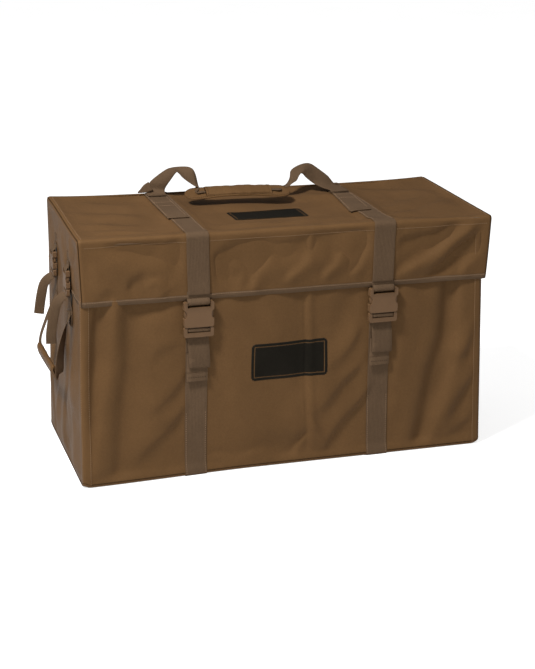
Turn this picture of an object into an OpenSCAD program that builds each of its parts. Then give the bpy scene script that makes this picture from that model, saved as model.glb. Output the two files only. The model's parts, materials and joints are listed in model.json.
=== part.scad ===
// Soft-sided decoy carry bag: a box of coated fabric with egg-crate dividers, a flap lid,
// two front buckled load straps, two buckled end straps and a carry handle on each end,
// and a carry handle on the lid. +X runs along the bag, the front faces -Y, +Z is up,
// and the bag stands on z = 0.

/* [Bag body] */
// Width of the fabric body, end to end
body_w = 944; // [760:1:1100]
// Depth of the fabric body, front to back
body_d = 384; // [340:1:480]
// Overall height to the top of the lid
bag_h = 560; // [520:1:640]
// Thickness of the coated fabric
fabric_t = 2; // [1:0.1:2.5]
// Width of the stitched band along each upright corner
corner_band_w = 20; // [10:1:30]
// Thickness of the loose stiffening board on the bottom
board_t = 3; // [2:0.5:5]

/* [Dividers] */
// Number of dividers that cross the long one
cross_count = 5; // [1:1:7]
// Height of the dividers above the board
divider_h = 430; // [200:1:460]
// Thickness of a divider
divider_t = 3; // [2:0.5:5]

/* [Lid] */
// Depth of the flaps that hang from the lid
flap_depth = 148; // [120:1:150]
// Thickness of the flap fabric
flap_t = 1.5; // [1:0.1:2]
// Space between the body and the inside of the flaps
flap_gap = 1.5; // [1.2:0.1:3]
// Width of the binding sewn along the flap hem
binding_w = 12; // [8:1:20]
// Thickness of the binding
binding_t = 0.7; // [0.5:0.1:1]

/* [Load straps] */
// Distance of each load strap from the middle of the bag
strap_x = 215; // [150:1:280]
// Width of the load strap webbing
web = 50; // [38:1:50]
// Thickness of the load strap webbing
web_t = 1.9; // [1.2:0.1:2]
// Height of a front buckle's lower edge
front_buckle_z = 330; // [300:1:332]
// Length of the loose strap end that hangs below a front buckle
front_tail = 74; // [40:1:110]

/* [End straps] */
// Distance of each end strap from the middle of the end
end_strap_y = 80; // [60:1:110]
// Width of the end strap webbing
end_web = 25; // [20:1:30]
// Thickness of the end strap webbing
end_web_t = 1.4; // [1:0.1:1.6]
// Height of an end buckle's lower edge
end_buckle_z = 410; // [404:1:416]
// Length of the loose end of an end strap
end_tail = 62; // [30:1:80]

/* [Top handle] */
// Length of the padded grip
grip_len = 250; // [180:1:260]
// Width of the padded grip
grip_w = 50; // [40:1:60]
// Thickness of the grip's flat pad
grip_pad_t = 7; // [4:0.5:9]
// Height of the grip's underside above the lid
grip_lift = 20; // [10:1:30]
// Height of the folded webbing above the lid
loop_h = 64; // [50:1:80]

/* [End handles] */
// Length of an end handle's webbing legs
leg_len = 128; // [90:1:140]
// Angle at which an end handle hangs away from the bag
leg_tilt = 20; // [12:1:30]
// Width of an end handle's wrapped grip
end_grip_w = 34; // [32:1:40]
// Thickness of an end handle's wrapped grip
end_grip_t = 14; // [8:1:18]

/* [Hidden] */
$fn = 48;
cut = 1;              // how far a cutting shape runs past the face that it cuts
touch = 0.05;         // space left between two pieces that lie on each other
body_x = body_w / 2;
body_y = body_d / 2;
flap_x = body_x + flap_gap + flap_t;
flap_y = body_y + flap_gap + flap_t;
lid_under = bag_h - fabric_t;
rim_z = lid_under - 2;
floor_z = web_t + touch;
floor_top = floor_z + fabric_t;
board_top = floor_top + board_t;
hem_z = bag_h - flap_depth;
lid_top_z = bag_h + touch;
back_strap_top = rim_z - 8;
binding_out = touch + binding_t;
front_strap_y = -(body_y + touch);                       // inner face of the load straps
flap_strap_y = -(flap_y + binding_out + 0.15);           // inner face of the lid straps
end_strap_x = body_x + touch;
end_buckle_x = flap_x + binding_out + 0.35 + buckle_t(end_web) / 2;
front_buckle_y = flap_strap_y - bar_r(web) - 0.15 - web_t;
end_loop_x = end_buckle_x - bar_r(end_web) - 0.15 - end_web_t;
strap_overlap_y = -61;                                   // front end of the handle webbing
loop_y = body_y - 14;                                    // where the handle webbing leaves the lid
grip_x = -41;                                            // the limp handle flops to the left
grip_y = body_y / 2 - 22;
grip_z = bag_h + grip_lift;
handle_pivot_x = end_strap_x + end_web_t + 2.6;
handle_pivot_z = end_buckle_z - 42;
left = -1;
right = 1;
fore = -1;
aft = 1;

fabric_colour = [0.47, 0.36, 0.24];
lining_colour = [0.35, 0.27, 0.18];
webbing_colour = [0.44, 0.36, 0.29];
plastic_colour = [0.41, 0.31, 0.21];

// ---- shared shapes ----

// A box given by its lowest and highest corners
module block(low, high) {
    translate(low) cube(high - low);
}

// A flat outline w by h with round corners, standing on the middle of its lower edge
module rounded(w, h, r) {
    translate([-w / 2 + r, 0]) square([w - 2 * r, h]);
    translate([-w / 2, r]) square([w, h - 2 * r]);
    for (x = [-1, 1], y = [r, h - r]) {
        translate([x * (w / 2 - r), y]) circle(r);
    }
}

// Stands an outline drawn in x and z upright, t thick about y = 0
module upright(t) {
    translate([0, t / 2, 0]) rotate([90, 0, 0]) linear_extrude(t) children();
}

// ---- side-release buckle, for webbing of width w ----
// Drawn with its lower edge on z = 0, its width along x and its front facing -y

function buckle_w(w) = 1.24 * w + 5;
function buckle_l(w) = 0.9 * w + 35;
function buckle_t(w) = 4 + 0.2 * w;
function bar_r(w) = 1 + 0.04 * w;
function wall(w) = 1.5 + 0.04 * w;
function socket_w(w) = buckle_w(w) - 2 * wall(w);
function socket_t(w) = buckle_t(w) - 2 * wall(w) + 1.5;
function mouth_z(w) = 0.29 * buckle_l(w);
function bar_z(w) = 0.95 * buckle_l(w);
function arm_root_x(w) = socket_w(w) / 2 - 0.075 * buckle_l(w);
function arm_root_z(w) = 0.36 * buckle_l(w);

// The outer half: a shell with a socket, a finger window each side and a bar for the webbing
module receiver(w) {
    l = buckle_l(w);
    notch_r = 0.15 * l;
    color(plastic_colour) {
        difference() {
            translate([0, 0, mouth_z(w)]) {
                upright(buckle_t(w)) rounded(buckle_w(w), l - mouth_z(w), 0.05 * l);
            }
            block([-socket_w(w) / 2, -socket_t(w) / 2, mouth_z(w) - cut],
                  [socket_w(w) / 2, socket_t(w) / 2, 0.8 * l]);
            block([-w / 2 - 1, -buckle_t(w), 0.84 * l], [w / 2 + 1, buckle_t(w), l + cut]);
            for (side = [-1, 1]) {
                translate([side * (buckle_w(w) / 2 + 0.5 * notch_r), 0, 0.65 * l]) {
                    rotate([90, 0, 0]) cylinder(r = notch_r, h = 2 * buckle_t(w), center = true);
                }
                translate([side * buckle_w(w) / 2, 0, 0.65 * l]) {
                    cube([4 * wall(w), socket_t(w), 0.24 * l], center = true);
                }
            }
        }
        translate([0, 0, bar_z(w)]) rotate([0, 90, 0]) {
            cylinder(r = bar_r(w), h = w + 4, center = true);
        }
    }
}

// The inner half: a ladder lock for the webbing, a cross bar and a guide tongue
module insert(w) {
    l = buckle_l(w);
    t = buckle_t(w) - wall(w) + 0.5;
    color(plastic_colour) {
        difference() {
            upright(t) rounded(buckle_w(w), 0.275 * l, 0.06 * l);
            block([-w / 2 - 1, -t, 0.125 * l], [w / 2 + 1, t, 0.275 * l + cut]);
        }
        block([-w / 2 - 2, -0.3 * t, 0.165 * l], [w / 2 + 2, 0.3 * t, 0.235 * l]);
        block([-w / 2 - 2, -0.3 * t, 0.262 * l], [w / 2 + 2, 0.3 * t, 0.275 * l]);
        block([0.5 - socket_w(w) / 2, -socket_t(w) / 2 + 0.4, 0.27 * l],
              [socket_w(w) / 2 - 0.5, socket_t(w) / 2 - 0.4, 0.35 * l]);
        block([-0.1 * w, -socket_t(w) / 2 + 0.4, 0.34 * l],
              [0.1 * w, socket_t(w) / 2 - 0.4, 0.7 * l]);
    }
}

// A springy arm with a hooked head that shows in the receiver's window
module arm(w, side) {
    l = buckle_l(w);
    stem = 0.06 * l;
    stem_out = socket_w(w) / 2 - 0.7;
    head_out = stem_out + wall(w) - 0.5;
    head_r = 0.2 * l;
    color(plastic_colour) mirror([side < 0 ? 1 : 0, 0, 0]) upright(socket_t(w) - 1) {
        translate([stem_out - stem, 0.36 * l + 0.6]) square([stem, 0.3 * l]);
        intersection() {
            translate([head_out - head_r, 0.65 * l]) circle(head_r);
            translate([stem_out - 1.4 * stem, 0.545 * l]) square([2.4 * stem, 0.21 * l]);
        }
    }
}

// Webbing folded round the receiver's bar, with a flat run of the given length going up
module bar_loop(w, t, run) {
    inner = bar_r(w) + 0.15;
    difference() {
        union() {
            rotate([0, 90, 0]) cylinder(r = inner + t, h = w, center = true);
            block([-w / 2, inner, 0], [w / 2, inner + t, run]);
        }
        rotate([0, 90, 0]) cylinder(r = inner, h = w + 2 * cut, center = true);
    }
}

// ---- places ----

module at_front(side) {
    translate([side * strap_x, front_buckle_y, front_buckle_z]) children();
}

module at_end(side, row) {
    translate([side * end_buckle_x, row * end_strap_y, end_buckle_z]) {
        rotate([0, 0, side * 90]) children();
    }
}

// ---- bag body ----

// The space that the load straps take up under the body
module strap_channels() {
    for (side = [left, right]) translate([side * strap_x, 0, 0]) {
        block([-web / 2 - touch, -body_y - cut, -cut], [web / 2 + touch, body_y + cut, floor_z]);
    }
}

module front_panel() {
    color(fabric_colour) difference() {
        block([-body_x, -body_y, 0], [body_x, fabric_t - body_y, rim_z]);
        strap_channels();
    }
}

module back_panel() {
    color(fabric_colour) difference() {
        block([-body_x, body_y - fabric_t, 0], [body_x, body_y, rim_z]);
        strap_channels();
    }
}

module end_panel(side) {
    color(fabric_colour) mirror([side < 0 ? 1 : 0, 0, 0]) {
        block([body_x - fabric_t, fabric_t - body_y, 0], [body_x, body_y - fabric_t, rim_z]);
    }
}

// Lies on the ground, and is lifted over the two load straps
module bottom_panel() {
    inner_x = body_x - fabric_t;
    inner_y = body_y - fabric_t;
    lifted = web / 2 + touch + fabric_t;
    color(fabric_colour) difference() {
        union() {
            block([-inner_x, -inner_y, 0], [inner_x, inner_y, fabric_t]);
            for (side = [left, right]) translate([side * strap_x, 0, 0]) {
                block([-lifted, -inner_y, 0], [lifted, inner_y, floor_top]);
            }
        }
        strap_channels();
    }
}

module base_board() {
    margin = fabric_t + 6;
    color(lining_colour) block([margin - body_x, margin - body_y, floor_top],
                               [body_x - margin, body_y - margin, board_top]);
}

// Upright bands where the end panels are stitched over the front and the back
module corner_bands() {
    color(fabric_colour) for (x = [-1, 1], y = [-1, 1]) {
        mirror([x < 0 ? 1 : 0, 0, 0]) mirror([0, y < 0 ? 1 : 0, 0]) {
            block([body_x - corner_band_w, body_y + touch, floor_top],
                  [body_x, body_y + touch + 0.8, back_strap_top]);
        }
    }
}

// The long divider is slotted down from the top at each crossing
module long_divider() {
    margin = fabric_t + 2;
    pitch = body_w / (cross_count + 1);
    color(lining_colour) difference() {
        block([margin - body_x, -divider_t / 2, board_top],
              [body_x - margin, divider_t / 2, board_top + divider_h]);
        for (i = [1 : cross_count]) {
            translate([-body_x + i * pitch, 0, 0]) {
                block([-divider_t / 2 - 0.5, -divider_t, board_top + divider_h / 2],
                      [divider_t / 2 + 0.5, divider_t, board_top + divider_h + cut]);
            }
        }
    }
}

// The cross dividers are slotted up from below, and straddle the long one
module cross_dividers() {
    margin = fabric_t + 2;
    pitch = body_w / (cross_count + 1);
    color(lining_colour) for (i = [1 : cross_count]) translate([-body_x + i * pitch, 0, 0]) {
        difference() {
            block([-divider_t / 2, margin - body_y, board_top],
                  [divider_t / 2, body_y - margin, board_top + divider_h]);
            block([-divider_t, -divider_t / 2 - 0.5, board_top - cut],
                  [divider_t, divider_t / 2 + 0.5, board_top + divider_h / 2 + 0.5]);
        }
    }
}

// Webbing that runs down the front, under the bottom and up the back
module load_strap(side) {
    out = web_t + touch;
    color(webbing_colour) translate([side * strap_x, 0, 0]) {
        block([-web / 2, -body_y - out, 0], [web / 2, -body_y - touch, front_buckle_z + 15]);
        block([-web / 2, -body_y - out, 0], [web / 2, body_y + out, web_t]);
        block([-web / 2, body_y + touch, 0], [web / 2, body_y + out, back_strap_top]);
    }
}

// Lower halves of the two end straps, sewn to the end panel
module end_lower_straps(side) {
    color(webbing_colour) mirror([side < 0 ? 1 : 0, 0, 0]) for (row = [fore, aft]) {
        translate([end_strap_x, row * end_strap_y, 0]) {
            block([0, -end_web / 2, end_buckle_z - 40], [end_web_t, end_web / 2, end_buckle_z]);
        }
    }
}

// ---- lid ----

module lid_top() {
    color(fabric_colour) block([-flap_x, -flap_y, lid_under], [flap_x, body_y, bag_h]);
}

module lid_front_flap() {
    color(fabric_colour) block([-flap_x, -flap_y, hem_z], [flap_x, flap_t - flap_y, lid_under]);
}

module lid_end_flap(side) {
    color(fabric_colour) mirror([side < 0 ? 1 : 0, 0, 0]) {
        block([flap_x - flap_t, flap_t - flap_y, hem_z], [flap_x, body_y, lid_under]);
    }
}

// Tape folded over the hem of the three flaps
module lid_hem_binding() {
    color(webbing_colour) {
        block([-flap_x - binding_out, -flap_y - binding_out, hem_z],
              [flap_x + binding_out, -flap_y - touch, hem_z + binding_w]);
        for (side = [left, right]) mirror([side < 0 ? 1 : 0, 0, 0]) {
            block([flap_x + touch, -flap_y - binding_out, hem_z],
                  [flap_x + binding_out, body_y, hem_z + binding_w]);
        }
    }
}

// Webbing over the lid and down the flap, folded round the receiver's bar
module lid_strap(side) {
    loop_z = front_buckle_z + bar_z(web);
    color(webbing_colour) translate([side * strap_x, 0, 0]) {
        translate([0, front_buckle_y, loop_z]) {
            bar_loop(web, web_t, lid_top_z + web_t - loop_z);
        }
        block([-web / 2, flap_strap_y - web_t, lid_top_z], [web / 2, body_y - 4, lid_top_z + web_t]);
    }
}

// Upper halves of the two end straps, folded round the receivers' bars
module end_upper_straps(side) {
    color(webbing_colour) for (row = [fore, aft]) {
        at_end(side, row) translate([0, 0, bar_z(end_web)]) bar_loop(end_web, end_web_t, 36);
    }
}

// A small blank tag sewn into the left flap
module blank_tag() {
    tag_x = flap_x + binding_out + 0.3;
    color("beige") block([-tag_x - 0.8, -58, hem_z - 8], [-tag_x, -38, hem_z + 32]);
}

// ---- top handle ----

// Webbing sewn along the lid, rising in a folded loop and reaching over to the grip
module handle_webbing(side) {
    base_z = lid_top_z + web_t + touch;
    top_z = bag_h + loop_h;
    peak_x = side < 0 ? 25 - strap_x : strap_x - 62;
    end_x = grip_x + side * (grip_len / 2 + 3);
    color(webbing_colour) {
        block([side * strap_x - web / 2 + 1, strap_overlap_y, base_z],
              [side * strap_x + web / 2 - 1, loop_y, base_z + web_t]);
        hull() {
            block([side * strap_x - web / 2 + 1, loop_y - 6, base_z],
                  [side * strap_x + web / 2 - 1, loop_y, base_z + web_t]);
            block([peak_x - 20, loop_y - 34, top_z - 4], [peak_x + 20, loop_y - 24, top_z]);
        }
        hull() {
            block([peak_x - 10, loop_y - 60, top_z - 4], [peak_x + 10, loop_y - 24, top_z]);
            block([end_x - 1, grip_y - 16, grip_z], [end_x + 1, grip_y + 16, grip_z + 5]);
        }
    }
}

// A flat pad with round ends and a fabric tube round its middle
module handle_grip() {
    tube_len = 0.56 * grip_len;
    color(fabric_colour) translate([grip_x, grip_y, grip_z]) {
        translate([0, -grip_w / 2, 0]) linear_extrude(grip_pad_t) {
            rounded(grip_len, grip_w, grip_w / 2 - 1);
        }
        rotate([0, 90, 0]) translate([-grip_pad_t, 0, -tube_len / 2]) {
            cylinder(r = grip_pad_t, h = tube_len);
        }
    }
}

// ---- end handles ----

// Places a handle drawn hanging from its pivot, its outer face towards +x
module at_end_handle(side) {
    mirror([side < 0 ? 1 : 0, 0, 0]) translate([handle_pivot_x, 0, handle_pivot_z]) {
        rotate([0, -leg_tilt, 0]) children();
    }
}

// One length of webbing: down one leg, through the grip and up the other leg
module end_handle_webbing(side) {
    half = end_strap_y + end_web / 2;
    color(webbing_colour) at_end_handle(side) {
        for (row = [fore, aft]) {
            block([-end_web_t / 2, row * end_strap_y - end_web / 2, -leg_len],
                  [end_web_t / 2, row * end_strap_y + end_web / 2, -0.5]);
            translate([0, row * end_strap_y, 0]) rotate([90, 0, 0]) {
                cylinder(r = 1.6, h = end_web, center = true);
            }
        }
        block([-end_web_t / 2, -half, -leg_len], [end_web_t / 2, half, end_web - leg_len]);
    }
}

// A wrapped sleeve round the webbing
module end_handle_grip(side) {
    half = end_strap_y - end_web / 2 - 4;
    mid = end_web / 2 - leg_len;
    color(fabric_colour) at_end_handle(side) difference() {
        block([-end_grip_t / 2, -half, mid - end_grip_w / 2],
              [end_grip_t / 2, half, mid + end_grip_w / 2]);
        block([-end_web_t / 2 - 0.3, -half - cut, mid - end_web / 2 - 0.3],
              [end_web_t / 2 + 0.3, half + cut, mid + end_web / 2 + 0.3]);
    }
}

// ---- buckles in place ----

module front_receiver(side) {
    at_front(side) receiver(web);
}

module front_insert(side) {
    at_front(side) insert(web);
}

module front_arm(side, arm_side) {
    at_front(side) arm(web, arm_side);
}

// The loose strap end that hangs below the ladder lock
module front_tail(side) {
    color(webbing_colour) at_front(side) {
        block([-web / 2 + 1, 0, -front_tail - 4], [web / 2 - 1, web_t, -4]);
    }
}

module end_receiver(side, row) {
    at_end(side, row) receiver(end_web);
}

module end_insert(side, row) {
    at_end(side, row) insert(end_web);
}

// The ends' local x runs towards the front on the left and the back on the right
module end_arm(side, row, arm_row) {
    at_end(side, row) arm(end_web, side * arm_row);
}

// A loose strap end, turned aside from the handle's leg
module end_tail(side, row) {
    color(webbing_colour) at_end(side, row) translate([side * (end_web + 4), -1, 0]) {
        block([-end_web / 2 + 1, -end_web_t, -end_tail - 6], [end_web / 2 - 1, 0, -6]);
    }
}

front_panel();
back_panel();
end_panel(left);  // left_end_panel
end_panel(right);  // right_end_panel
bottom_panel();
base_board();
corner_bands();
long_divider();
cross_dividers();
load_strap(left);  // load_strap_left
load_strap(right);  // load_strap_right
end_lower_straps(left);  // left_end_lower_straps
end_lower_straps(right);  // right_end_lower_straps
lid_top();
lid_front_flap();
lid_end_flap(left);  // lid_left_flap
lid_end_flap(right);  // lid_right_flap
lid_hem_binding();
lid_strap(left);  // lid_strap_left
lid_strap(right);  // lid_strap_right
end_upper_straps(left);  // left_end_upper_straps
end_upper_straps(right);  // right_end_upper_straps
blank_tag();
handle_webbing(left);  // handle_webbing_left
handle_webbing(right);  // handle_webbing_right
handle_grip();
end_handle_webbing(left);  // left_end_handle_webbing
end_handle_grip(left);  // left_end_handle_grip
end_handle_webbing(right);  // right_end_handle_webbing
end_handle_grip(right);  // right_end_handle_grip
front_receiver(left);  // front_left_receiver
front_insert(left);  // front_left_insert
front_tail(left);  // front_left_tail
front_arm(left, left);  // front_left_arm_left
front_arm(left, right);  // front_left_arm_right
front_receiver(right);  // front_right_receiver
front_insert(right);  // front_right_insert
front_tail(right);  // front_right_tail
front_arm(right, left);  // front_right_arm_left
front_arm(right, right);  // front_right_arm_right
end_receiver(left, fore);  // left_end_fore_receiver
end_insert(left, fore);  // left_end_fore_insert
end_tail(left, fore);  // left_end_fore_tail
end_arm(left, fore, fore);  // left_end_fore_arm_fore
end_arm(left, fore, aft);  // left_end_fore_arm_aft
end_receiver(left, aft);  // left_end_aft_receiver
end_insert(left, aft);  // left_end_aft_insert
end_tail(left, aft);  // left_end_aft_tail
end_arm(left, aft, fore);  // left_end_aft_arm_fore
end_arm(left, aft, aft);  // left_end_aft_arm_aft
end_receiver(right, fore);  // right_end_fore_receiver
end_insert(right, fore);  // right_end_fore_insert
end_tail(right, fore);  // right_end_fore_tail
end_arm(right, fore, fore);  // right_end_fore_arm_fore
end_arm(right, fore, aft);  // right_end_fore_arm_aft
end_receiver(right, aft);  // right_end_aft_receiver
end_insert(right, aft);  // right_end_aft_insert
end_tail(right, aft);  // right_end_aft_tail
end_arm(right, aft, fore);  // right_end_aft_arm_fore
end_arm(right, aft, aft);  // right_end_aft_arm_aft
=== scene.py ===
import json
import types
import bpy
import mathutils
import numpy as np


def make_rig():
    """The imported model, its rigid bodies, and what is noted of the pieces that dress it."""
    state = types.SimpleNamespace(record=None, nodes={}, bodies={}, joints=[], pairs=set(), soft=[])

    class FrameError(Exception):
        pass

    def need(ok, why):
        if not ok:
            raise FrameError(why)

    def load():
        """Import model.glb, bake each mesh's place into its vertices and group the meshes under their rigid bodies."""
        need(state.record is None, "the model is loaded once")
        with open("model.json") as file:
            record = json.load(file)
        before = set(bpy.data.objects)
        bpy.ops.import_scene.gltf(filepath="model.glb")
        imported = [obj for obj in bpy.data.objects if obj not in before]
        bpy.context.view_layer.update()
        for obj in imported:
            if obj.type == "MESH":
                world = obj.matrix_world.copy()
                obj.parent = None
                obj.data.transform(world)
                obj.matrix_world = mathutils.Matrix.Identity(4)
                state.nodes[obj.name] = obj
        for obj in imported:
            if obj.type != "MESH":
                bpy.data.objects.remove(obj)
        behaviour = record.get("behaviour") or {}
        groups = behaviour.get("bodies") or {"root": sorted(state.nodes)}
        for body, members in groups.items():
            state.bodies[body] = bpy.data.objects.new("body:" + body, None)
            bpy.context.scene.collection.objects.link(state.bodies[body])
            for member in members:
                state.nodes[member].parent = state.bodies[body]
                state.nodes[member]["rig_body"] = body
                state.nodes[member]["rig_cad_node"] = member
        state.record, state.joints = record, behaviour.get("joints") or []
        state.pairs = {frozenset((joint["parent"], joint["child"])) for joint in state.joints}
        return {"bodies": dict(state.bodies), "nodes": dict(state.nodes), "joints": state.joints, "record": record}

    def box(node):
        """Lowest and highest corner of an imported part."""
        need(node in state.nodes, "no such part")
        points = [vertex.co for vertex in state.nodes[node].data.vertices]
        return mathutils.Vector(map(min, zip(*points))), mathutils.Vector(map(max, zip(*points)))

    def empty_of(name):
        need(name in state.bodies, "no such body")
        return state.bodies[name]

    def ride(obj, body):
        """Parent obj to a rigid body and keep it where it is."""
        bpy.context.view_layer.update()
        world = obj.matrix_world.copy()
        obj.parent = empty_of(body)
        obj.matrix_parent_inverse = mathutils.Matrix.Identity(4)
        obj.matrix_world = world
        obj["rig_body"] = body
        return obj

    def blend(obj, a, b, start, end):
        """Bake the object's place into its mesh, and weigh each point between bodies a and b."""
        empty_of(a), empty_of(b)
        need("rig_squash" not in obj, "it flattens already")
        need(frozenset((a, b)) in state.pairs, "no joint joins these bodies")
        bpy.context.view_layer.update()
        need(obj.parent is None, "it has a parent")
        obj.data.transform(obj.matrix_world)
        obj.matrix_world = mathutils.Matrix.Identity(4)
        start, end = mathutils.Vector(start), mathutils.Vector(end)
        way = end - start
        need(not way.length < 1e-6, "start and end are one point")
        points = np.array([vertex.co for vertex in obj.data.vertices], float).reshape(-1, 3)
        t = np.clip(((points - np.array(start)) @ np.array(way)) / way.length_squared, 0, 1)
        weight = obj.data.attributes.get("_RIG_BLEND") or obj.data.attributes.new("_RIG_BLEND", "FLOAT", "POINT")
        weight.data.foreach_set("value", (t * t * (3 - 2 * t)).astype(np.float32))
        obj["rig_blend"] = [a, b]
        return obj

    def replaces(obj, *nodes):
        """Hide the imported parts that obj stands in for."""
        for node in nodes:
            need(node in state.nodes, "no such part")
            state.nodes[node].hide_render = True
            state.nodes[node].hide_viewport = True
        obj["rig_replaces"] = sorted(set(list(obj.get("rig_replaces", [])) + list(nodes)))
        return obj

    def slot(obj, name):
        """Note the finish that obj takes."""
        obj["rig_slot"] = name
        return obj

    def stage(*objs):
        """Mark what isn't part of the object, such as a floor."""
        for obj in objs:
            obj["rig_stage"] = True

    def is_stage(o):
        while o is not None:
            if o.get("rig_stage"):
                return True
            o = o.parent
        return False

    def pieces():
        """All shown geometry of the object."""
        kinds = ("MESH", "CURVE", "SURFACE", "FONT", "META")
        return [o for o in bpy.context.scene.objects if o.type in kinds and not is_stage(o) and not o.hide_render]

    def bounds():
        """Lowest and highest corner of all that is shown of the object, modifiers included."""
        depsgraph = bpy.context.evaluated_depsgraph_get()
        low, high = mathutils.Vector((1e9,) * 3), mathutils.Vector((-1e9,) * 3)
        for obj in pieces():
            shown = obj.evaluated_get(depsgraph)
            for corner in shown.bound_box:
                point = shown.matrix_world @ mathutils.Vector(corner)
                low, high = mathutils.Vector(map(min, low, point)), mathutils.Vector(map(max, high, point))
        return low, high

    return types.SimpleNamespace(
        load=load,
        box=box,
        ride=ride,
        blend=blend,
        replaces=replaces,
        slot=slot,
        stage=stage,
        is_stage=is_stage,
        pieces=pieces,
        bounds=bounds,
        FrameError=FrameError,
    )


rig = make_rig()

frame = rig.load()
cad_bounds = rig.bounds()

import json
from math import cos, hypot, pi, radians, sin

import bpy
import numpy as np
from mathutils import Matrix, Vector

MM = 0.001
LEFT, RIGHT = -1, 1
FORE, AFT = -1, 1
SIDES = ((LEFT, "left"), (RIGHT, "right"))
ROWS = ((FORE, "fore"), (AFT, "aft"))


def low(node, axis):
    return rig.box(node)[0]["xyz".index(axis)]


def high(node, axis):
    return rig.box(node)[1]["xyz".index(axis)]


def mid(node, axis):
    return (low(node, axis) + high(node, axis)) / 2


def breadth(node, axis):
    return high(node, axis) - low(node, axis)


# ---- sizes taken from the frame ----

BODY_X = high("front_panel", "x")
BODY_Y = high("back_panel", "y")
FLOOR_Z = low("front_panel", "z")
RIM_Z = high("front_panel", "z")
FLAP_X = high("lid_top", "x")
FLAP_Y = -low("lid_top", "y")
TOP_Z = high("lid_top", "z")
HEM_Z = low("lid_front_flap", "z")
STRAP_X = mid("load_strap_right", "x")
WEB = breadth("load_strap_right", "x")
END_STRAP_Y = mid("left_end_aft_receiver", "y")
END_WEB = breadth("right_end_aft_tail", "y") + 2 * MM
BUCKLE_Z = low("front_left_insert", "z")
BUCKLE_TOP = high("front_left_receiver", "z")
BUCKLE_Y = mid("front_left_receiver", "y")
END_BUCKLE_X = mid("right_end_fore_receiver", "x")
END_BUCKLE_Z = low("right_end_fore_insert", "z")
END_BUCKLE_TOP = high("right_end_fore_receiver", "z")
GRIP_X = mid("handle_grip", "x")
GRIP_Y = mid("handle_grip", "y")
GRIP_Z = low("handle_grip", "z")
GRIP_LEN = breadth("handle_grip", "x")
OVERLAP_Y = low("handle_webbing_left", "y")
CHANNEL = low("base_board", "z") - 2 * MM    # how far a load strap lifts the bottom
PIVOT_X = 476.05 * MM                        # where the end handles swing
PIVOT_Z = 368 * MM

FABRIC_T = 1.4 * MM
WEB_T = 1.5 * MM
END_WEB_T = 1.2 * MM
EDGE_R = 8 * MM          # how round the sewn edges of the lid and the body are
FRONT_EDGE_R = 9 * MM    # how round the lid's front edge is
HEM = 12 * MM            # how far the hem binding reaches over the cloth
STEP = 4 * MM            # the spacing of the points in most sheets
STITCH = 2.6 * MM        # the short stitches on the padded handles
SLACK = 0.006            # how much larger than their patterns the crumpled sheets are


# ---- small numeric helpers ----

def smooth(t):
    """Eases from 0 to 1 as t goes from 0 to 1."""
    t = np.clip(t, 0, 1)
    return t * t * (3 - 2 * t)


def near(x, place, reach, ease):
    """1 close to a place on either side of the middle, easing to 0 at its reach."""
    return smooth((reach - np.abs(np.abs(x) - place)) / ease)


def bell(x, width):
    return np.exp(-(x / width) ** 2)


def unit(v):
    v = np.asarray(v, float)
    return v / np.maximum(np.linalg.norm(v, axis=-1, keepdims=True), 1e-12)


def mm(rows, start=(0, 0, 0)):
    """Points given in millimetres from a place."""
    return np.asarray(rows, float) * MM + np.asarray(start)


def grid(u_range, v_range, n, m):
    return np.meshgrid(np.linspace(*u_range, n), np.linspace(*v_range, m), indexing="ij")


def paired(u, v):
    return np.stack(np.broadcast_arrays(u, v), -1)


def run_along(path):
    """The distance run along a path at each of its points."""
    return np.concatenate([[0], np.cumsum(np.linalg.norm(np.diff(path, axis=0), axis=1))])


def lumps(u, v, size, seed):
    """Smooth noise between -1 and 1 whose lumps are about size across."""
    count = 64
    table = np.random.default_rng(seed).uniform(-1, 1, (count, count))
    x, y = u / size + count, v / size + count
    i, j = np.floor(x).astype(int), np.floor(y).astype(int)
    a, b = smooth(x - i), smooth(y - j)
    i, j, k, m = i % count, j % count, (i + 1) % count, (j + 1) % count
    return ((table[i, j] * (1 - a) + table[k, j] * a) * (1 - b)
            + (table[i, m] * (1 - a) + table[k, m] * a) * b)


def crumple(u, v, size, seed):
    """Sharp little creases, from 0 to 1."""
    return (1 - np.abs(lumps(u, v, size, seed))) ** 3


def crest(across, width):
    """A soft fold's section: steep on one side, easing off on the other, with a dip before it."""
    side = width * np.where(across < 0, 0.9, 1.9)
    return bell(across, side) - 0.3 * bell(across + 1.9 * width, 1.2 * width)


def fold(u, v, start, end, width, rise):
    """The height of a straight fold from start to end; all lengths in millimetres."""
    (u0, v0), (u1, v1) = start, end
    length = hypot(u1 - u0, v1 - v0)
    du, dv = (u1 - u0) / length, (v1 - v0) / length
    along = ((u / MM - u0) * du + (v / MM - v0) * dv) / length
    across = (u / MM - u0) * dv - (v / MM - v0) * du
    across = across + 0.25 * width * np.sin(7 * along + u0)
    wide = width * (0.75 + 0.5 * np.clip(along, 0, 1))
    ends = smooth((along + 0.15) / 0.35) * smooth((1.15 - along) / 0.35)
    return 1.25 * rise * MM * ends * crest(across, 1.15 * wide)


def folds(u, v, *rows):
    """Several folds together, each given as its start, end, width and rise."""
    return sum(fold(u, v, *row) for row in rows)


def drape(u, v, line, width, rise):
    """The height of a fold that hangs along a line of (u, v) points in millimetres, v rising."""
    us, vs = zip(*line)
    across = u / MM - np.interp(v / MM, vs, us)
    reach = 0.18 * (vs[-1] - vs[0])
    ends = smooth((v / MM - vs[0] + reach) / reach) * smooth((vs[-1] - v / MM + reach) / reach)
    return 1.35 * rise * MM * ends * crest(across, 1.1 * width)


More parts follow.
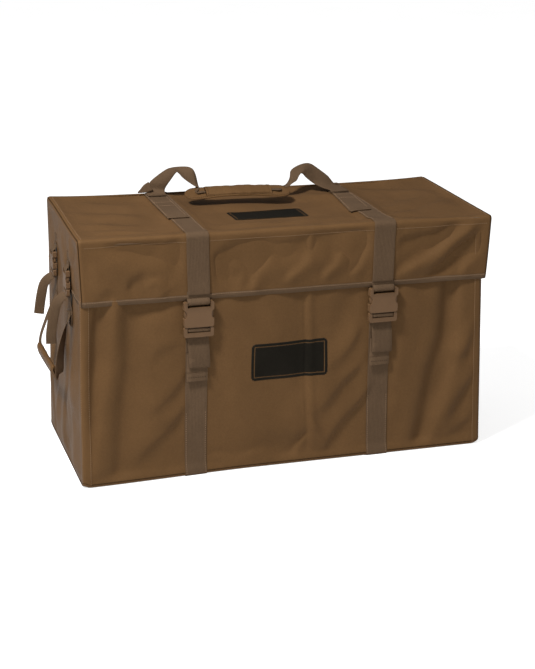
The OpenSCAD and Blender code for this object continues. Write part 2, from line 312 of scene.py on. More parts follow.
def scattered_folds(u, v, half_u, low_v, high_v, count, seed):
    """Folds in places drawn at random, most of them nearly upright."""
    rng = np.random.default_rng(seed)
    height = np.zeros_like(u)
    for _ in range(count):
        middle = rng.uniform(-half_u, half_u), rng.uniform(low_v, high_v)
        angle = radians(rng.uniform(50, 130))
        length = rng.uniform(60, 190)
        du, dv = length / 2 * cos(angle), length / 2 * sin(angle)
        start, end = (middle[0] - du, middle[1] - dv), (middle[0] + du, middle[1] + dv)
        height += fold(u, v, start, end, rng.uniform(8, 22), rng.uniform(-3.2, 3.6))
    return height


def round_off(u, half, radius):
    """Bends a panel's last stretch over by 45 degrees: the place across it, and the drop."""
    flat = half - radius
    turn = np.clip((np.abs(u) - flat) / radius, 0, pi / 4)
    return np.sign(u) * (np.minimum(np.abs(u), flat) + radius * np.sin(turn)), radius * (1 - np.cos(turn))


def arc_half(half, radius):
    """The run over a panel's half width when its last stretch is bent over by 45 degrees."""
    return half - radius + radius * pi / 4


# ---- meshes ----

def mesh_object(name, points, faces, weave):
    """A mesh whose weave attribute tells the woven materials how the threads run."""
    mesh = bpy.data.meshes.new(name)
    mesh.from_pydata(np.asarray(points).reshape(-1, 3).tolist(), [], faces)
    mesh.shade_smooth()
    flat = np.zeros((len(mesh.vertices), 3), np.float32)
    flat[:, :2] = np.asarray(weave).reshape(-1, 2)
    mesh.attributes.new("weave", "FLOAT_VECTOR", "POINT").data.foreach_set("vector", flat.ravel())
    obj = bpy.data.objects.new(name, mesh)
    bpy.context.collection.objects.link(obj)
    return obj


def grid_faces(n, m, closed_u=False, closed_v=False):
    i, j = np.meshgrid(np.arange(n if closed_u else n - 1), np.arange(m if closed_v else m - 1),
                       indexing="ij")
    i, j = i.ravel(), j.ravel()
    p, q = (i + 1) % n, (j + 1) % m
    return np.stack([i * m + j, p * m + j, p * m + q, i * m + q], -1).tolist()


def grid_object(name, points, weave, closed=False):
    return mesh_object(name, points, grid_faces(*points.shape[:2], closed), weave)


def swept(rings, weave):
    """A closed form through rings of points: its points, its faces and its weave."""
    n, m = rings.shape[:2]
    caps = [list(range(m))[::-1], list(range((n - 1) * m, n * m))]
    return rings.reshape(-1, 3), grid_faces(n, m, False, True) + caps, weave.reshape(-1, 2)


def joined(name, parts):
    """Several forms as one mesh."""
    faces, start = [], 0
    for points, its_faces, _ in parts:
        faces += [[start + k for k in face] for face in its_faces]
        start += len(points)
    return mesh_object(name, np.vstack([part[0] for part in parts]), faces,
                       np.vstack([part[2] for part in parts]))


def thicken(obj, thickness, offset):
    """Gives a sheet its thickness: offset 1 builds outwards, -1 inwards."""
    solid = obj.modifiers.new("thickness", "SOLIDIFY")
    solid.thickness = thickness
    solid.offset = offset


def soften(obj, width, segments=2, angle=35):
    bevel = obj.modifiers.new("soft_edges", "BEVEL")
    bevel.width = width
    bevel.segments = segments
    bevel.limit_method = "ANGLE"
    bevel.angle_limit = radians(angle)
    return obj


def dress(obj, finish, slot, body=None, nodes=()):
    """Gives a piece its material and slot, the body it rides on and the CAD nodes it stands for."""
    obj.data.materials.clear()
    obj.data.materials.append(finish)
    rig.slot(obj, slot)
    if body:
        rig.ride(obj, body)
    if nodes:
        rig.replaces(obj, *nodes)
    return obj


# ---- sheets of fabric ----

class Sheet:
    """A fabric panel as an even grid of points, kept so that other pieces can be laid on it."""

    def __init__(self, u_range, v_range, step, place, closed=False):
        self.u0, self.v0 = u_range[0], v_range[0]
        n, m = (max(2, round((end - start) / step)) for start, end in (u_range, v_range))
        self.du, self.dv = (u_range[1] - self.u0) / n, (v_range[1] - self.v0) / m
        self.closed = closed
        self.u, self.v = (a[:n] if closed else a for a in grid(u_range, v_range, n + 1, m + 1))
        self.points = place(self.u, self.v)
        self.find_normals()

    def find_normals(self):
        if self.closed:
            along_u = np.roll(self.points, -1, 0) - np.roll(self.points, 1, 0)
        else:
            along_u = np.gradient(self.points, axis=0)
        self.normals = unit(np.cross(along_u, np.gradient(self.points, axis=1)))

    def at(self, u, v, lift=0.0):
        """Points lift above the sheet at (u, v)."""
        u, v, lift = np.broadcast_arrays(np.asarray(u, float), np.asarray(v, float), lift)
        n, m = self.u.shape
        i = (u - self.u0) / self.du
        j = np.clip((v - self.v0) / self.dv, 0, m - 1.000001)
        if not self.closed:
            i = np.clip(i, 0, n - 1.000001)
        i0, j0 = np.floor(i).astype(int), np.floor(j).astype(int)
        a, b = (i - i0)[..., None], (j - j0)[..., None]
        i0, i1 = i0 % n, (i0 + 1) % n

        def mix(values):
            return ((values[i0, j0] * (1 - a) + values[i1, j0] * a) * (1 - b)
                    + (values[i0, j0 + 1] * (1 - a) + values[i1, j0 + 1] * a) * b)

        return mix(self.points) + unit(mix(self.normals)) * lift[..., None]

    def build(self, name, finish, slot, body=None, nodes=(), thickness=FABRIC_T):
        """The sheet as a finished piece, thickened inwards."""
        obj = grid_object(name, self.points, paired(self.u, self.v), self.closed)
        thicken(obj, thickness, -1)
        return dress(obj, finish, slot, body, nodes)


def spread(values, count, closed=False):
    """Smoothly resamples rows of values to count rows."""
    rows = len(values)
    where = np.arange(count) * (rows / count if closed else (rows - 1) / (count - 1))
    k = np.minimum(np.floor(where).astype(int), rows - 1)
    t = (where - k).reshape(-1, *[1] * (values.ndim - 1))

    def row(offset):
        return values[(k + offset) % rows] if closed else values[np.clip(k + offset, 0, rows - 1)]

    before, here, ahead, beyond = row(-1), row(0), row(1), row(2)
    return here + 0.5 * t * (ahead - before + t * (2 * before - 5 * here + 4 * ahead - beyond
                                                   + t * (3 * (here - ahead) + beyond - before)))


def regrid(values, n, m, closed):
    """Smoothly resamples a grid of values to n by m."""
    return spread(spread(values, n, closed).swapaxes(0, 1), m).swapaxes(0, 1)


def eased(values, closed):
    """Averages a grid of values with their neighbours, which takes out its finest wrinkles."""
    padded = np.pad(values, ((1, 1), (0, 0), (0, 0)), "wrap" if closed else "edge")
    values = (padded[:-2] + 2 * padded[1:-1] + padded[2:]) / 4
    padded = np.pad(values, ((0, 0), (1, 1), (0, 0)), "edge")
    return (padded[:, :-2] + 2 * padded[:, 1:-1] + padded[:, 2:]) / 4


def add_cloth(obj, frames):
    """A light, stiff cloth that is pinned by the hold group and is a little too large for its place."""
    cloth = obj.modifiers.new("cloth", "CLOTH")
    settings = cloth.settings
    settings.quality = 6
    settings.mass = 0.3
    settings.tension_stiffness = settings.compression_stiffness = 30
    settings.shear_stiffness = 10
    settings.bending_model = "ANGULAR"
    settings.bending_stiffness = 4
    settings.vertex_group_mass = "hold"
    settings.shrink_min = settings.shrink_max = -SLACK
    settings.effector_weights.gravity = 0.35
    cloth.collision_settings.use_collision = False
    cloth.point_cache.frame_start, cloth.point_cache.frame_end = 1, frames


def settle(sheet, hold, cap, frames=26, coarser=3):
    """Lets a sheet crumple as cloth on a coarser grid; hold (0 to 1) pins it and cap limits its shift."""
    n, m = hold.shape
    hold = np.clip(hold, 0, 1)
    points = regrid(sheet.points, round(n / coarser), round(m / coarser), sheet.closed)
    pins = np.clip(regrid(hold, *points.shape[:2], sheet.closed), 0, 1)
    obj = grid_object("settling", points, np.zeros((*pins.shape, 2)), sheet.closed)
    group = obj.vertex_groups.new(name="hold")
    for k, weight in enumerate(pins.ravel()):
        group.add([k], float(weight), "REPLACE")
    add_cloth(obj, frames)
    for frame_number in range(1, frames + 1):
        bpy.context.scene.frame_set(frame_number)
    moved = np.empty(points.size, np.float32)
    obj.evaluated_get(bpy.context.evaluated_depsgraph_get()).data.vertices.foreach_get("co", moved)
    shift = moved.reshape(points.shape) - points
    length = np.linalg.norm(shift, axis=-1, keepdims=True)
    shift *= cap * np.tanh(length / cap) / np.maximum(length, 1e-9)
    for _ in range(2):
        shift = eased(shift, sheet.closed)
    sheet.points = sheet.points + regrid(shift, n, m, sheet.closed) * (1 - hold)[..., None]
    sheet.find_normals()
    bpy.context.scene.frame_set(1)
    bpy.data.objects.remove(obj)


# ---- the body's wall: one sheet that runs right round the bag ----

SIDE_X = 2 * (BODY_X - EDGE_R)       # flat lengths of the long and the short sides
SIDE_Y = 2 * (BODY_Y - EDGE_R)
TURN = EDGE_R * pi / 2
ROUND = 2 * SIDE_X + 2 * SIDE_Y + 4 * TURN
FOOT_R = 4.5 * MM
FOOT = FOOT_R * pi / 2
WALL_TOP = FOOT + RIM_Z - FLOOR_Z - FOOT_R
END_S = SIDE_X / 2 + TURN + SIDE_Y / 2       # from the middle of the front to the middle of an end
FRONT_S = SIDE_X + 2 * TURN + SIDE_Y         # the wall's s at the middle of the front


def wall_v(z):
    """The wall's v at a height above the foot's curve."""
    return FOOT + z - FLOOR_Z - FOOT_R


def front_s(x):
    return FRONT_S + x


def back_s(x):
    return -x if x <= 0 else ROUND - x


def end_s(side, y):
    """The wall's s at a place y along an end."""
    return FRONT_S + END_S + y if side == RIGHT else FRONT_S - END_S - y


def round_the_box(s):
    """Where s falls round the box: x, y, the outward direction, which side, and the place along it."""
    x, y, out_x, out_y, along = np.zeros((5, *s.shape))
    side = np.full(s.shape, -1)
    t = (s + SIDE_X / 2) % ROUND
    corners = [(1, 1), (-1, 1), (-1, -1), (1, -1)]
    headings = [(-1, 0), (0, -1), (1, 0), (0, 1)]
    for k, ((cx, cy), (hx, hy)) in enumerate(zip(corners, headings)):
        length = SIDE_X if hx else SIDE_Y
        here, flat = (t >= 0) & (t < length + TURN), (t >= 0) & (t < length)
        angle = np.maximum(t - length, 0) / EDGE_R
        run = np.minimum(t, length)
        ox = hy * np.cos(angle) + hx * np.sin(angle)
        oy = hy * np.sin(angle) - hx * np.cos(angle)
        x = np.where(here, cx * (BODY_X - EDGE_R) + hx * run + ox * EDGE_R, x)
        y = np.where(here, cy * (BODY_Y - EDGE_R) + hy * run + oy * EDGE_R, y)
        out_x, out_y = np.where(here, ox, out_x), np.where(here, oy, out_y)
        side, along = np.where(flat, k, side), np.where(flat, t - length / 2, along)
        t = t - length - TURN
    return x, y, out_x, out_y, side, along


def strap_hold(x, z, top=360):
    """1 where the load straps and buckles press the cloth flat, 0 away from them."""
    return near(x, STRAP_X, 62 * MM, 30 * MM) * smooth((z / MM - top + 120) / 60)


def front_folds(x, z):
    """The folds hanging in the front of the body."""
    h = drape(x, z, [(-459, 150), (-442, 333), (-432, 400)], 12, -5.5)
    h += drape(x, z, [(-442, 54), (-418, 186), (-397, 303), (-393, 400)], 20, 5)
    h += drape(x, z, [(-388, 20), (-377, 182), (-363, 274), (-366, 400)], 19, -5)
    h += drape(x, z, [(-296, 150), (-335, 272), (-325, 360)], 24, 2.6)
    h += drape(x, z, [(318, 5), (352, 181), (382, 284), (392, 420)], 18, -6.5)
    h += drape(x, z, [(350, 20), (412, 204), (422, 290), (420, 410)], 13, 4.2)
    h += drape(x, z, [(262, 120), (276, 258), (280, 400)], 20, 2.6)
    left = folds(x, z, ((-240, 243), (-322, 158), 11, 2.8), ((-240, 169), (-358, 52), 13, 3.4),
                 ((-244, 318), (-318, 304), 11, 1.6))
    middle = folds(x, z, ((-139, 159), (-80, 232), 22, 1.8), ((-182, 36), (-96, 18), 8, 2.2),
                   ((-96, 34), (-30, 20), 9, 2.0), ((45, 76), (2, 20), 6, -2.4),
                   ((57, 100), (92, 26), 9, 3.0), ((180, 320), (84, 226), 13, 3.2),
                   ((189, 172), (78, 40), 12, 4.2), ((165, 232), (68, 132), 11, 3.0))
    right = folds(x, z, ((462, 306), (412, 222), 11, 3.2), ((466, 205), (376, 80), 14, 4.4),
                  ((470, 104), (390, 34), 13, 3.4))
    return h + left + middle + right


def carton_crease(x, z):
    """The sharp line left down the front by folding the bag flat for shipping."""
    across = x / MM - np.interp(z / MM, [14, 182, 299, 400], [48, 40, 37, 32])
    valley = -2.6 * np.exp(-np.abs(across) / 3.2)
    shoulder = 2.6 * bell(across - 13, 9) - 0.9 * bell(across + 12, 10)
    return MM * (valley + shoulder) * smooth((z / MM - 5) / 60)


def end_folds(y, z, seed):
    """Pleats low on an end panel, and soft folds above them."""
    h = drape(y, z, [(-128, 10), (-120, 130), (-132, 260)], 12, -3.6)
    h += drape(y, z, [(-44, 10), (-58, 120), (-50, 230)], 14, 3.2)
    h += drape(y, z, [(36, 20), (30, 150), (44, 300)], 13, -3.2)
    h += drape(y, z, [(126, 10), (118, 140), (130, 330)], 15, 3.4)
    return h + 0.5 * scattered_folds(y, z, 150, 60, 440, 9, seed)


def from_corner(side, along):
    """How far a place on the wall is from the nearest corner."""
    return np.where(side % 2 == 0, SIDE_X, SIDE_Y) / 2 - np.abs(along)


def wall_relief(side, along, z):
    """How far the cloth stands out from the flat wall."""
    edge = smooth((from_corner(side, along) + 2 * MM) / (34 * MM)) * smooth((z / MM - 6) / 26)
    front = front_folds(along, z) + carton_crease(along, z)
    front = front * (1 - 0.96 * strap_hold(along, z)) - 1.6 * MM
    back = scattered_folds(-along, z, 430, 40, 500, 26, 11)
    back = back * (1 - 0.95 * strap_hold(-along, z, -200)) - 1.0 * MM
    end = np.where(side == 1, end_folds(along, z, 5), end_folds(along, z, 8))
    half = np.where(side % 2 == 0, SIDE_X, SIDE_Y) / 2
    swell = 5 * MM * np.sin(pi * np.clip(z / RIM_Z, 0, 1)) ** 0.8 * np.cos(pi * along / (2 * half))
    end = end + swell + np.where(side == 3, 6 * MM * smooth(z / MM / 300 - 0.4), 0)
    fine = 0.9 * lumps(along, z, 70 * MM, 21) + 0.35 * lumps(along, z * 0.6, 24 * MM, 22)
    fine = (fine + 0.5 * crumple(along, z, 90 * MM, 23) - 0.25) * MM * (1 - 0.8 * strap_hold(along, z))
    return edge * (np.select([side == 2, side == 0, side % 2 == 1], [front, back, end], 0) + fine)


def lean(x, z):
    """The body narrows towards its rim, more so on the right."""
    share = np.clip(z / RIM_Z, 0, 1)
    return x * np.where(x < 0, 478 - 7 * share, 481 - 26 * share) * MM / BODY_X


def slump(x, y, z):
    """How far the low front left corner spreads forwards as the bag rests."""
    left = smooth((-x / MM - 60) / 420)
    return 17 * MM * left * smooth(1 - z / (260 * MM)) * smooth(-y / BODY_Y)


def corner_rise(x, y, z):
    """The soft bottom corners stand a little off the floor."""
    to_corner = np.hypot(BODY_X - abs(x), BODY_Y - abs(y))
    return 7 * MM * smooth(1 - to_corner / (24 * MM)) ** 2 * smooth(1 - z / (60 * MM))


def wall_place(s, v):
    x, y, out_x, out_y, side, along = round_the_box(s)
    turn = np.clip(1 - v / FOOT, 0, 1) * pi / 2
    z = FLOOR_Z + np.where(v < FOOT, FOOT_R * (1 - np.sin(turn)), v - FOOT + FOOT_R)
    lift = np.where(side >= 0, wall_relief(side, along, z), 0) - FOOT_R * (1 - np.cos(turn))
    x, y = x + out_x * lift, y + out_y * lift
    return np.stack([lean(x, z), y - slump(x, y, z), z + corner_rise(x, y, z)], -1)


def channel(x):
    """1 where a load strap lifts the bottom, 0 elsewhere."""
    return near(x, STRAP_X, WEB / 2 + 5 * MM, 4 * MM)


def bottom_place(x, v):
    edge = near(x, 0, BODY_X, 40 * MM) * near(v, 0, BODY_Y, 40 * MM)
    z = FLOOR_Z + 0.1 * MM + CHANNEL * channel(x) + edge * 0.6 * MM * (1 + lumps(x, v, 80 * MM, 61))
    return np.stack([lean(x, 0 * x), -v - slump(x, -v, 0 * x), z + corner_rise(x, -v, z)], -1)


# ---- the lid: a cover that runs from the front hem over to the hinge, and two end flaps ----

DROP = TOP_Z - FRONT_EDGE_R - HEM_Z              # straight height of the front flap
BEND = FRONT_EDGE_R * pi / 2
COVER_TOP = DROP + BEND
COVER_END = COVER_TOP + FLAP_Y - FRONT_EDGE_R + BODY_Y
COVER_U = arc_half(FLAP_X, EDGE_R)
FLAP_LEN = arc_half(FLAP_Y, EDGE_R) + BODY_Y
FLAP_TALL = arc_half(TOP_Z - HEM_Z, EDGE_R)


def top_v(y):
    """The cover's v at a place y on the top."""
    return COVER_TOP + y + FLAP_Y - FRONT_EDGE_R


def at_bend(v, width):
    """1 on the lid's front edge, 0 away from it."""
    return bell(v - DROP - BEND / 2, width)


def flap_folds(x, z):
    """The dents and folds in the front flap."""
    left = folds(x, z, ((-408, 541), (-246, 531), 12, -4.5), ((-436, 526), (-262, 452), 20, 3.0),
                 ((-452, 505), (-420, 440), 12, 2.4), ((-372, 446), (-334, 476), 9, -2.6),
                 ((-322, 466), (-284, 432), 10, 2.6))
    middle = folds(x, z, ((-184, 498), (-53, 520), 20, -5.0), ((-53, 520), (188, 536), 18, -4.6),
                   ((-96, 424), (-48, 494), 10, 3.2), ((-12, 436), (50, 494), 9, 2.6),
                   ((76, 436), (122, 494), 9, 3.2), ((146, 438), (184, 498), 9, 2.8),
                   ((-176, 470), (-120, 452), 14, -2.2))
    right = folds(x, z, ((252, 504), (392, 530), 13, -4.6), ((253, 430), (440, 535), 12, 5.6),
                  ((330, 433), (458, 522), 12, -6.6), ((408, 428), (470, 480), 11, 3.6))
    return left + middle + right


def top_folds(x, y):
    """The shallow waves on top of the lid."""
    left = folds(x, y, ((-450, -160), (-250, -178), 10, 3.4), ((-420, -120), (-290, -146), 12, 2.4),
                 ((-440, -60), (-320, -96), 16, 2.6), ((-430, 40), (-290, -20), 20, 3.0),
                 ((-400, 130), (-280, 90), 20, 2.4))
    middle = folds(x, y, ((-190, -168), (60, -180), 11, 3.2), ((60, -160), (330, -178), 12, 3.4),
                   ((-150, -120), (160, -112), 18, 2.2), ((-110, 10), (150, 60), 34, -3.0),
                   ((80, 120), (230, 60), 20, 2.4))
    right = folds(x, y, ((240, -140), (450, -40), 16, 3.6), ((250, -80), (430, 30), 22, 3.0),
                  ((280, 130), (450, 40), 18, 3.2))
    return left + middle + right + 0.4 * scattered_folds(x, y, 420, -150, 150, 12, 31)


def cover_section(v):
    """The cover's run from hem to hinge: y, z and the outward direction in y and z."""
    angle = np.clip((v - DROP) / FRONT_EDGE_R, 0, pi / 2)
    y = -FLAP_Y + FRONT_EDGE_R * (1 - np.cos(angle)) + np.maximum(v - COVER_TOP, 0)
    z = HEM_Z + np.minimum(v, DROP) + FRONT_EDGE_R * np.sin(angle)
    return y, z, -np.cos(angle), np.sin(angle)


def flare(points):
    """The lid's ends lean outwards to the top, and its back corners are drawn in and raised."""
    x, y, z = np.moveaxis(points, -1, 0)
    share = np.clip((z - HEM_Z) / (TOP_Z - HEM_Z), 0, 1)
    reach = np.where(x < 0, 471.0 + 7.0 * share, 470.5 + 6.5 * share ** 0.7) * MM
    corner = (np.abs(x) / FLAP_X) ** 5 * smooth((y + FLAP_Y) / (BODY_Y + FLAP_Y)) * share
    return np.stack([x * reach / FLAP_X - np.sign(x) * 5 * MM * corner, y, z + 6 * MM * corner], -1)


def cover_relief(u, y, z, v):
    """How far the cover stands out from its plain section."""
    on_flap = smooth((COVER_TOP - v) / BEND)
    hold = near(u, STRAP_X, 48 * MM, 24 * MM)
    front = flap_folds(u, z) * (1 - 0.9 * hold) - 1.2 * MM * (1 - hold)
    dip = 2.2 * MM * (1 - (u / FLAP_X) ** 4) * smooth((BODY_Y - y) / (80 * MM))
    top = (top_folds(u, y) - dip) * (1 - 0.35 * hold)
    fine = (0.7 * lumps(u, v, 60 * MM, 41) + 0.4 * lumps(u, v, 22 * MM, 42)
            + 0.6 * crumple(u, v, 80 * MM, 43) - 0.3) * MM * (1 - 0.6 * hold)
    edge = near(u, 0, COVER_U, 55 * MM) * smooth((COVER_END - v) / (20 * MM))
    sag = 2.0 * MM * lumps(u, 0 * u, 150 * MM, 47) * at_bend(v, 40 * MM)
    rise = (1 - 0.75 * at_bend(v, 16 * MM)) * (on_flap * front + (1 - on_flap) * top + fine)
    return edge * (rise + np.minimum(sag, 0.3 * MM) * (1 - hold))


def cover_place(u, v):
    y, z, out_y, out_z = cover_section(v)
    x, drop = round_off(u, FLAP_X, EDGE_R)
    lift = cover_relief(u, y, z, v) - drop
    return flare(np.stack([x, y + out_y * lift, z + out_z * lift], -1))


def end_flap_run(u):
    """An end flap's plain place at u from its front edge: y, and how far it is turned in."""
    from_fore = u + (FLAP_Y - arc_half(FLAP_Y, EDGE_R))
    turn = np.clip((EDGE_R - from_fore) / EDGE_R, 0, pi / 4)
    turned = from_fore < EDGE_R
    y = -FLAP_Y + np.where(turned, EDGE_R * (1 - np.sin(turn)), from_fore)
    return y, np.where(turned, EDGE_R * (1 - np.cos(turn)), 0)


def end_flap_place(side):
    """The place function of an end flap; its u runs left to right as seen from outside."""
    def place(u, v):
        y, drop = end_flap_run(FLAP_LEN - u if side == LEFT else u)
        rise, top_drop = round_off(v, TOP_Z - HEM_Z, EDGE_R)
        z = HEM_Z + rise
        dy, dz = -FLAP_Y + FRONT_EDGE_R - y, z - (TOP_Z - FRONT_EDGE_R)
        both = (dy > 0) & (dz > 0)
        pull = np.where(both, np.maximum(dy, dz) / np.maximum(np.hypot(dy, dz), 1e-9), 1)
        y = np.where(both, -FLAP_Y + FRONT_EDGE_R - dy * pull, y)
        z = np.where(both, TOP_Z - FRONT_EDGE_R + dz * pull, z)
        height = scattered_folds(y, z, 170, 430, 540, 8, 51 + side)
        height += folds(y, z, ((-40, 470), (-180, 545), 14, 3), ((20, 420), (60, 520), 12, -3))
        fine = (0.7 * lumps(y, z, 50 * MM, 53 + side) + 0.5 * crumple(y, z, 70 * MM, 54) - 0.3) * MM
        edge = smooth((FLAP_TALL - v) / (26 * MM)) * smooth((y + FLAP_Y - 3 * MM) / (26 * MM))
        edge *= smooth((BODY_Y - y + 4 * MM) / (20 * MM)) * (1 - 0.9 * near(y, END_STRAP_Y, 30 * MM, 14 * MM))
        lift = edge * (height + fine) - drop - top_drop
        return flare(np.stack([side * (FLAP_X + lift), y, z], -1))
    return place


def end_flap_u(side, y):
    run = y + FLAP_LEN - BODY_Y
    return FLAP_LEN - run if side == LEFT else run


wall = Sheet((0, ROUND), (0, WALL_TOP), STEP, wall_place, closed=True)
cover = Sheet((-COVER_U, COVER_U), (0, COVER_END), STEP, cover_place)
end_flaps = {side: Sheet((0, FLAP_LEN), (0, FLAP_TALL), STEP, end_flap_place(side)) for side in (LEFT, RIGHT)}


def settle_all():
    """Crumples the wall, the cover and the end flaps, keeping seams, straps and edges in place."""
    _, _, _, _, side, along = round_the_box(wall.u)
    z = wall.points[..., 2]
    loose = smooth(from_corner(side, along) / (26 * MM)) * smooth((z / MM - 5) / 22)
    loose *= smooth((548 - z / MM) / 20)
    held = np.select([side == 2, side == 0], [strap_hold(along, z), strap_hold(along, z, -200)], 0)
    settle(wall, np.where(side >= 0, 1 - loose * (1 - held), 1), 6 * MM)
    u, v = cover.u, cover.v
    loose = near(u, 0, COVER_U, 24 * MM) * smooth((COVER_END - v) / (24 * MM))
    loose *= smooth((v - 2 * MM) / (30 * MM)) * (1 - 0.9 * at_bend(v, 14 * MM))
    settle(cover, 1 - loose * (1 - near(u, STRAP_X, 44 * MM, 18 * MM)), 5 * MM)
    for sheet in end_flaps.values():
        y, v = sheet.points[..., 1], sheet.v
        loose = smooth((FLAP_TALL - v) / (22 * MM)) * smooth((v - 2 * MM) / (24 * MM))
        loose *= smooth((y + FLAP_Y - 4 * MM) / (24 * MM)) * smooth((BODY_Y - y) / (20 * MM))
        settle(sheet, 1 - loose * (1 - near(y, END_STRAP_Y, 34 * MM, 14 * MM)), 4 * MM)


# ---- materials ----

def feed(tree, target, inputs):
    """Sets a node's inputs, or links the outputs of other nodes to them."""
    for key, value in inputs.items():
        if isinstance(value, bpy.types.NodeSocket):
            tree.links.new(value, target.inputs[key])
        else:
            target.inputs[key].default_value = value


def add(tree, kind, output, inputs, **settings):
    """A new shader node's output."""
    made = tree.nodes.new("ShaderNode" + kind)
    for key, value in settings.items():
        setattr(made, key, value)
    feed(tree, made, inputs)
    return made.outputs[output]


def noise(tree, vector, scale, detail=4.0):
    return add(tree, "TexNoise", "Fac",
               {"Vector": vector, "Scale": scale, "Detail": detail, "Roughness": 0.55})


def ramp(tree, factor, colours, places=(0.3, 0.7)):
    made = tree.nodes.new("ShaderNodeValToRGB")
    for element, place, colour in zip(made.color_ramp.elements, places, colours):
        element.position = place
        element.color = (*colour, 1)
    tree.links.new(factor, made.inputs["Fac"])
    return made.outputs["Color"]


def span(tree, factor, low_value, high_value):
    return add(tree, "MapRange", "Result", {"Value": factor, "To Min": low_value, "To Max": high_value})


def bump(tree, height, strength, distance, before=None):
    inputs = {"Height": height, "Strength": strength, "Distance": distance}
    if before is not None:
        inputs["Normal"] = before
    return add(tree, "Bump", "Normal", inputs)


def grey(value):
    return (value, value, value)


def shaded(colour, factor):
    return tuple(c * factor for c in colour)


def multiplied(tree, a, b):
    return add(tree, "Mix", "Result", {"Factor": 1.0, "A": a, "B": b},
               data_type="RGBA", blend_type="MULTIPLY")


def rubbed_and_highlit_edges(tree, colour, light, full=0.6):
    """Lightens the raised edges, partly as rubbing does and partly as a painted highlight on ridges and crests; full
    is the pointiness where it is strongest.
    """
    pointiness = add(tree, "NewGeometry", "Pointiness", {})
    # partly rubbing, partly painted highlight: the most pointed places mix towards the light colour
    rub_and_highlight = add(tree, "MapRange", "Result",
               {"Value": pointiness, "From Min": 0.52, "From Max": full, "To Max": 0.55})
    return add(tree, "Mix", "Result", {"Factor": rub_and_highlight, "A": colour, "B": (*light, 1)}, data_type="RGBA")


def material(name):
    """A new material, its node tree, its shader and the coordinates of its object."""
    made = bpy.data.materials.new(name)
    made.use_nodes = True
    tree = made.node_tree
    return made, tree, tree.nodes["Principled BSDF"], add(tree, "TexCoord", "Object", {})


def threads(tree, vector, direction, period):
    """Even bands, one period apart, along one direction of the weave."""
    inputs = {"Vector": vector, "Scale": 2 * pi / (20 * period), "Distortion": 0.0}
    return add(tree, "TexWave", "Fac", inputs, wave_type="BANDS", bands_direction=direction)


def woven(name, colour, period_u, period_v, bump_depth, roughness, shine=0.16, wear_and_highlight=1.25, spots=0.08):
    """Woven cloth: threads in both directions, uneven dye, painted shade between the threads, fold crests lightened
    partly by rubbing and partly as a painted highlight, and a dull sheen.
    """
    made, tree, shader, world = material(name)
    weave = add(tree, "Attribute", "Vector", {}, attribute_name="weave")
    warp, weft = threads(tree, weave, "X", period_u), threads(tree, weave, "Y", period_v)
    between = add(tree, "Math", 0, {0: 1.0, 1: weft}, operation="SUBTRACT")
    cloth = add(tree, "Math", 0, {0: warp, 1: between}, operation="MAXIMUM")
    broad = noise(tree, world, 9.0)
    dyed = ramp(tree, broad, (shaded(colour, 1 - spots), shaded(colour, 1 + spots)))
    speck = ramp(tree, noise(tree, world, 260.0, 2.0), (grey(0.95), grey(1.04)), (0.35, 0.65))
    # painted shade: the hollows between the threads are darkened to 0.8
    thread_gap_shade = ramp(tree, cloth, (grey(0.8), grey(1.0)), (0.0, 0.6))
    # raised folds and edges lightened: partly rubbing, partly a painted highlight on the crests
    rubbed_and_highlit = rubbed_and_highlit_edges(tree, multiplied(tree, multiplied(tree, dyed, speck), thread_gap_shade), shaded(colour, wear_and_highlight))
    creases = bump(tree, noise(tree, world, 30.0, 3.0), 0.14, 0.002)
    feed(tree, shader, {"Base Color": rubbed_and_highlit,
                        "Roughness": span(tree, broad, roughness - 0.08, roughness + 0.1),
                        "Specular IOR Level": shine, "Specular Tint": (1.0, 0.78, 0.55, 1), "IOR": 1.3,
                        "Normal": bump(tree, cloth, 0.7, bump_depth, creases)})
    return made


def moulded(name, colour, roughness=0.42):
    """Moulded plastic: a fine spark-eroded grain, faint mottling and edges painted lighter as a painted highlight."""
    made, tree, shader, world = material(name)
    grain = noise(tree, world, 1900.0, 2.0)
    base = ramp(tree, noise(tree, world, 60.0, 3.0), (shaded(colour, 0.9), shaded(colour, 1.1)))
    # painted highlight: the edges are mixed towards half again the base colour
    feed(tree, shader, {"Base Color": rubbed_and_highlit_edges(tree, base, shaded(colour, 1.5), 0.62),
                        "Roughness": span(tree, grain, roughness - 0.08, roughness + 0.12),
                        "Specular IOR Level": 0.22, "Normal": bump(tree, grain, 0.25, 0.0003)})
    return made


FABRIC_COLOUR = (0.118, 0.062, 0.0255)
WEBBING_COLOUR = (0.104, 0.065, 0.038)
INK_COLOUR = (0.010, 0.009, 0.007)
# every woven finish below gets painted shade between its threads and, on its raised folds, a lightening that is partly
# rubbing and partly a painted highlight
fabric = woven("coated_fabric", FABRIC_COLOUR, 0.8 * MM, 0.8 * MM, 0.12 * MM, 0.46, shine=0.19)
lining = woven("divider_fabric", shaded(FABRIC_COLOUR, 0.62), 0.9 * MM, 0.9 * MM, 0.12 * MM, 0.6)
webbing = woven("webbing", WEBBING_COLOUR, 3.2 * MM, 2.4 * MM, 0.7 * MM, 0.7)
tape = woven("binding", shaded(WEBBING_COLOUR, 1.1), 1.6 * MM, 1.1 * MM, 0.3 * MM, 0.66)
thread = woven("thread", shaded(WEBBING_COLOUR, 2.3), 0.5 * MM, 0.5 * MM, 0.1 * MM, 0.6)
dark_thread = woven("dark_thread", shaded(WEBBING_COLOUR, 0.4), 0.5 * MM, 0.5 * MM, 0.1 * MM, 0.6)
# painted shade: a nearly black cord for the piping and the base seam, standing for the shaded groove along each seam
seam = woven("seam", shaded(FABRIC_COLOUR, 0.3), 0.8 * MM, 0.8 * MM, 0.1 * MM, 0.6)
label = woven("tag_fabric", (0.42, 0.38, 0.32), 0.6 * MM, 0.6 * MM, 0.1 * MM, 0.8)
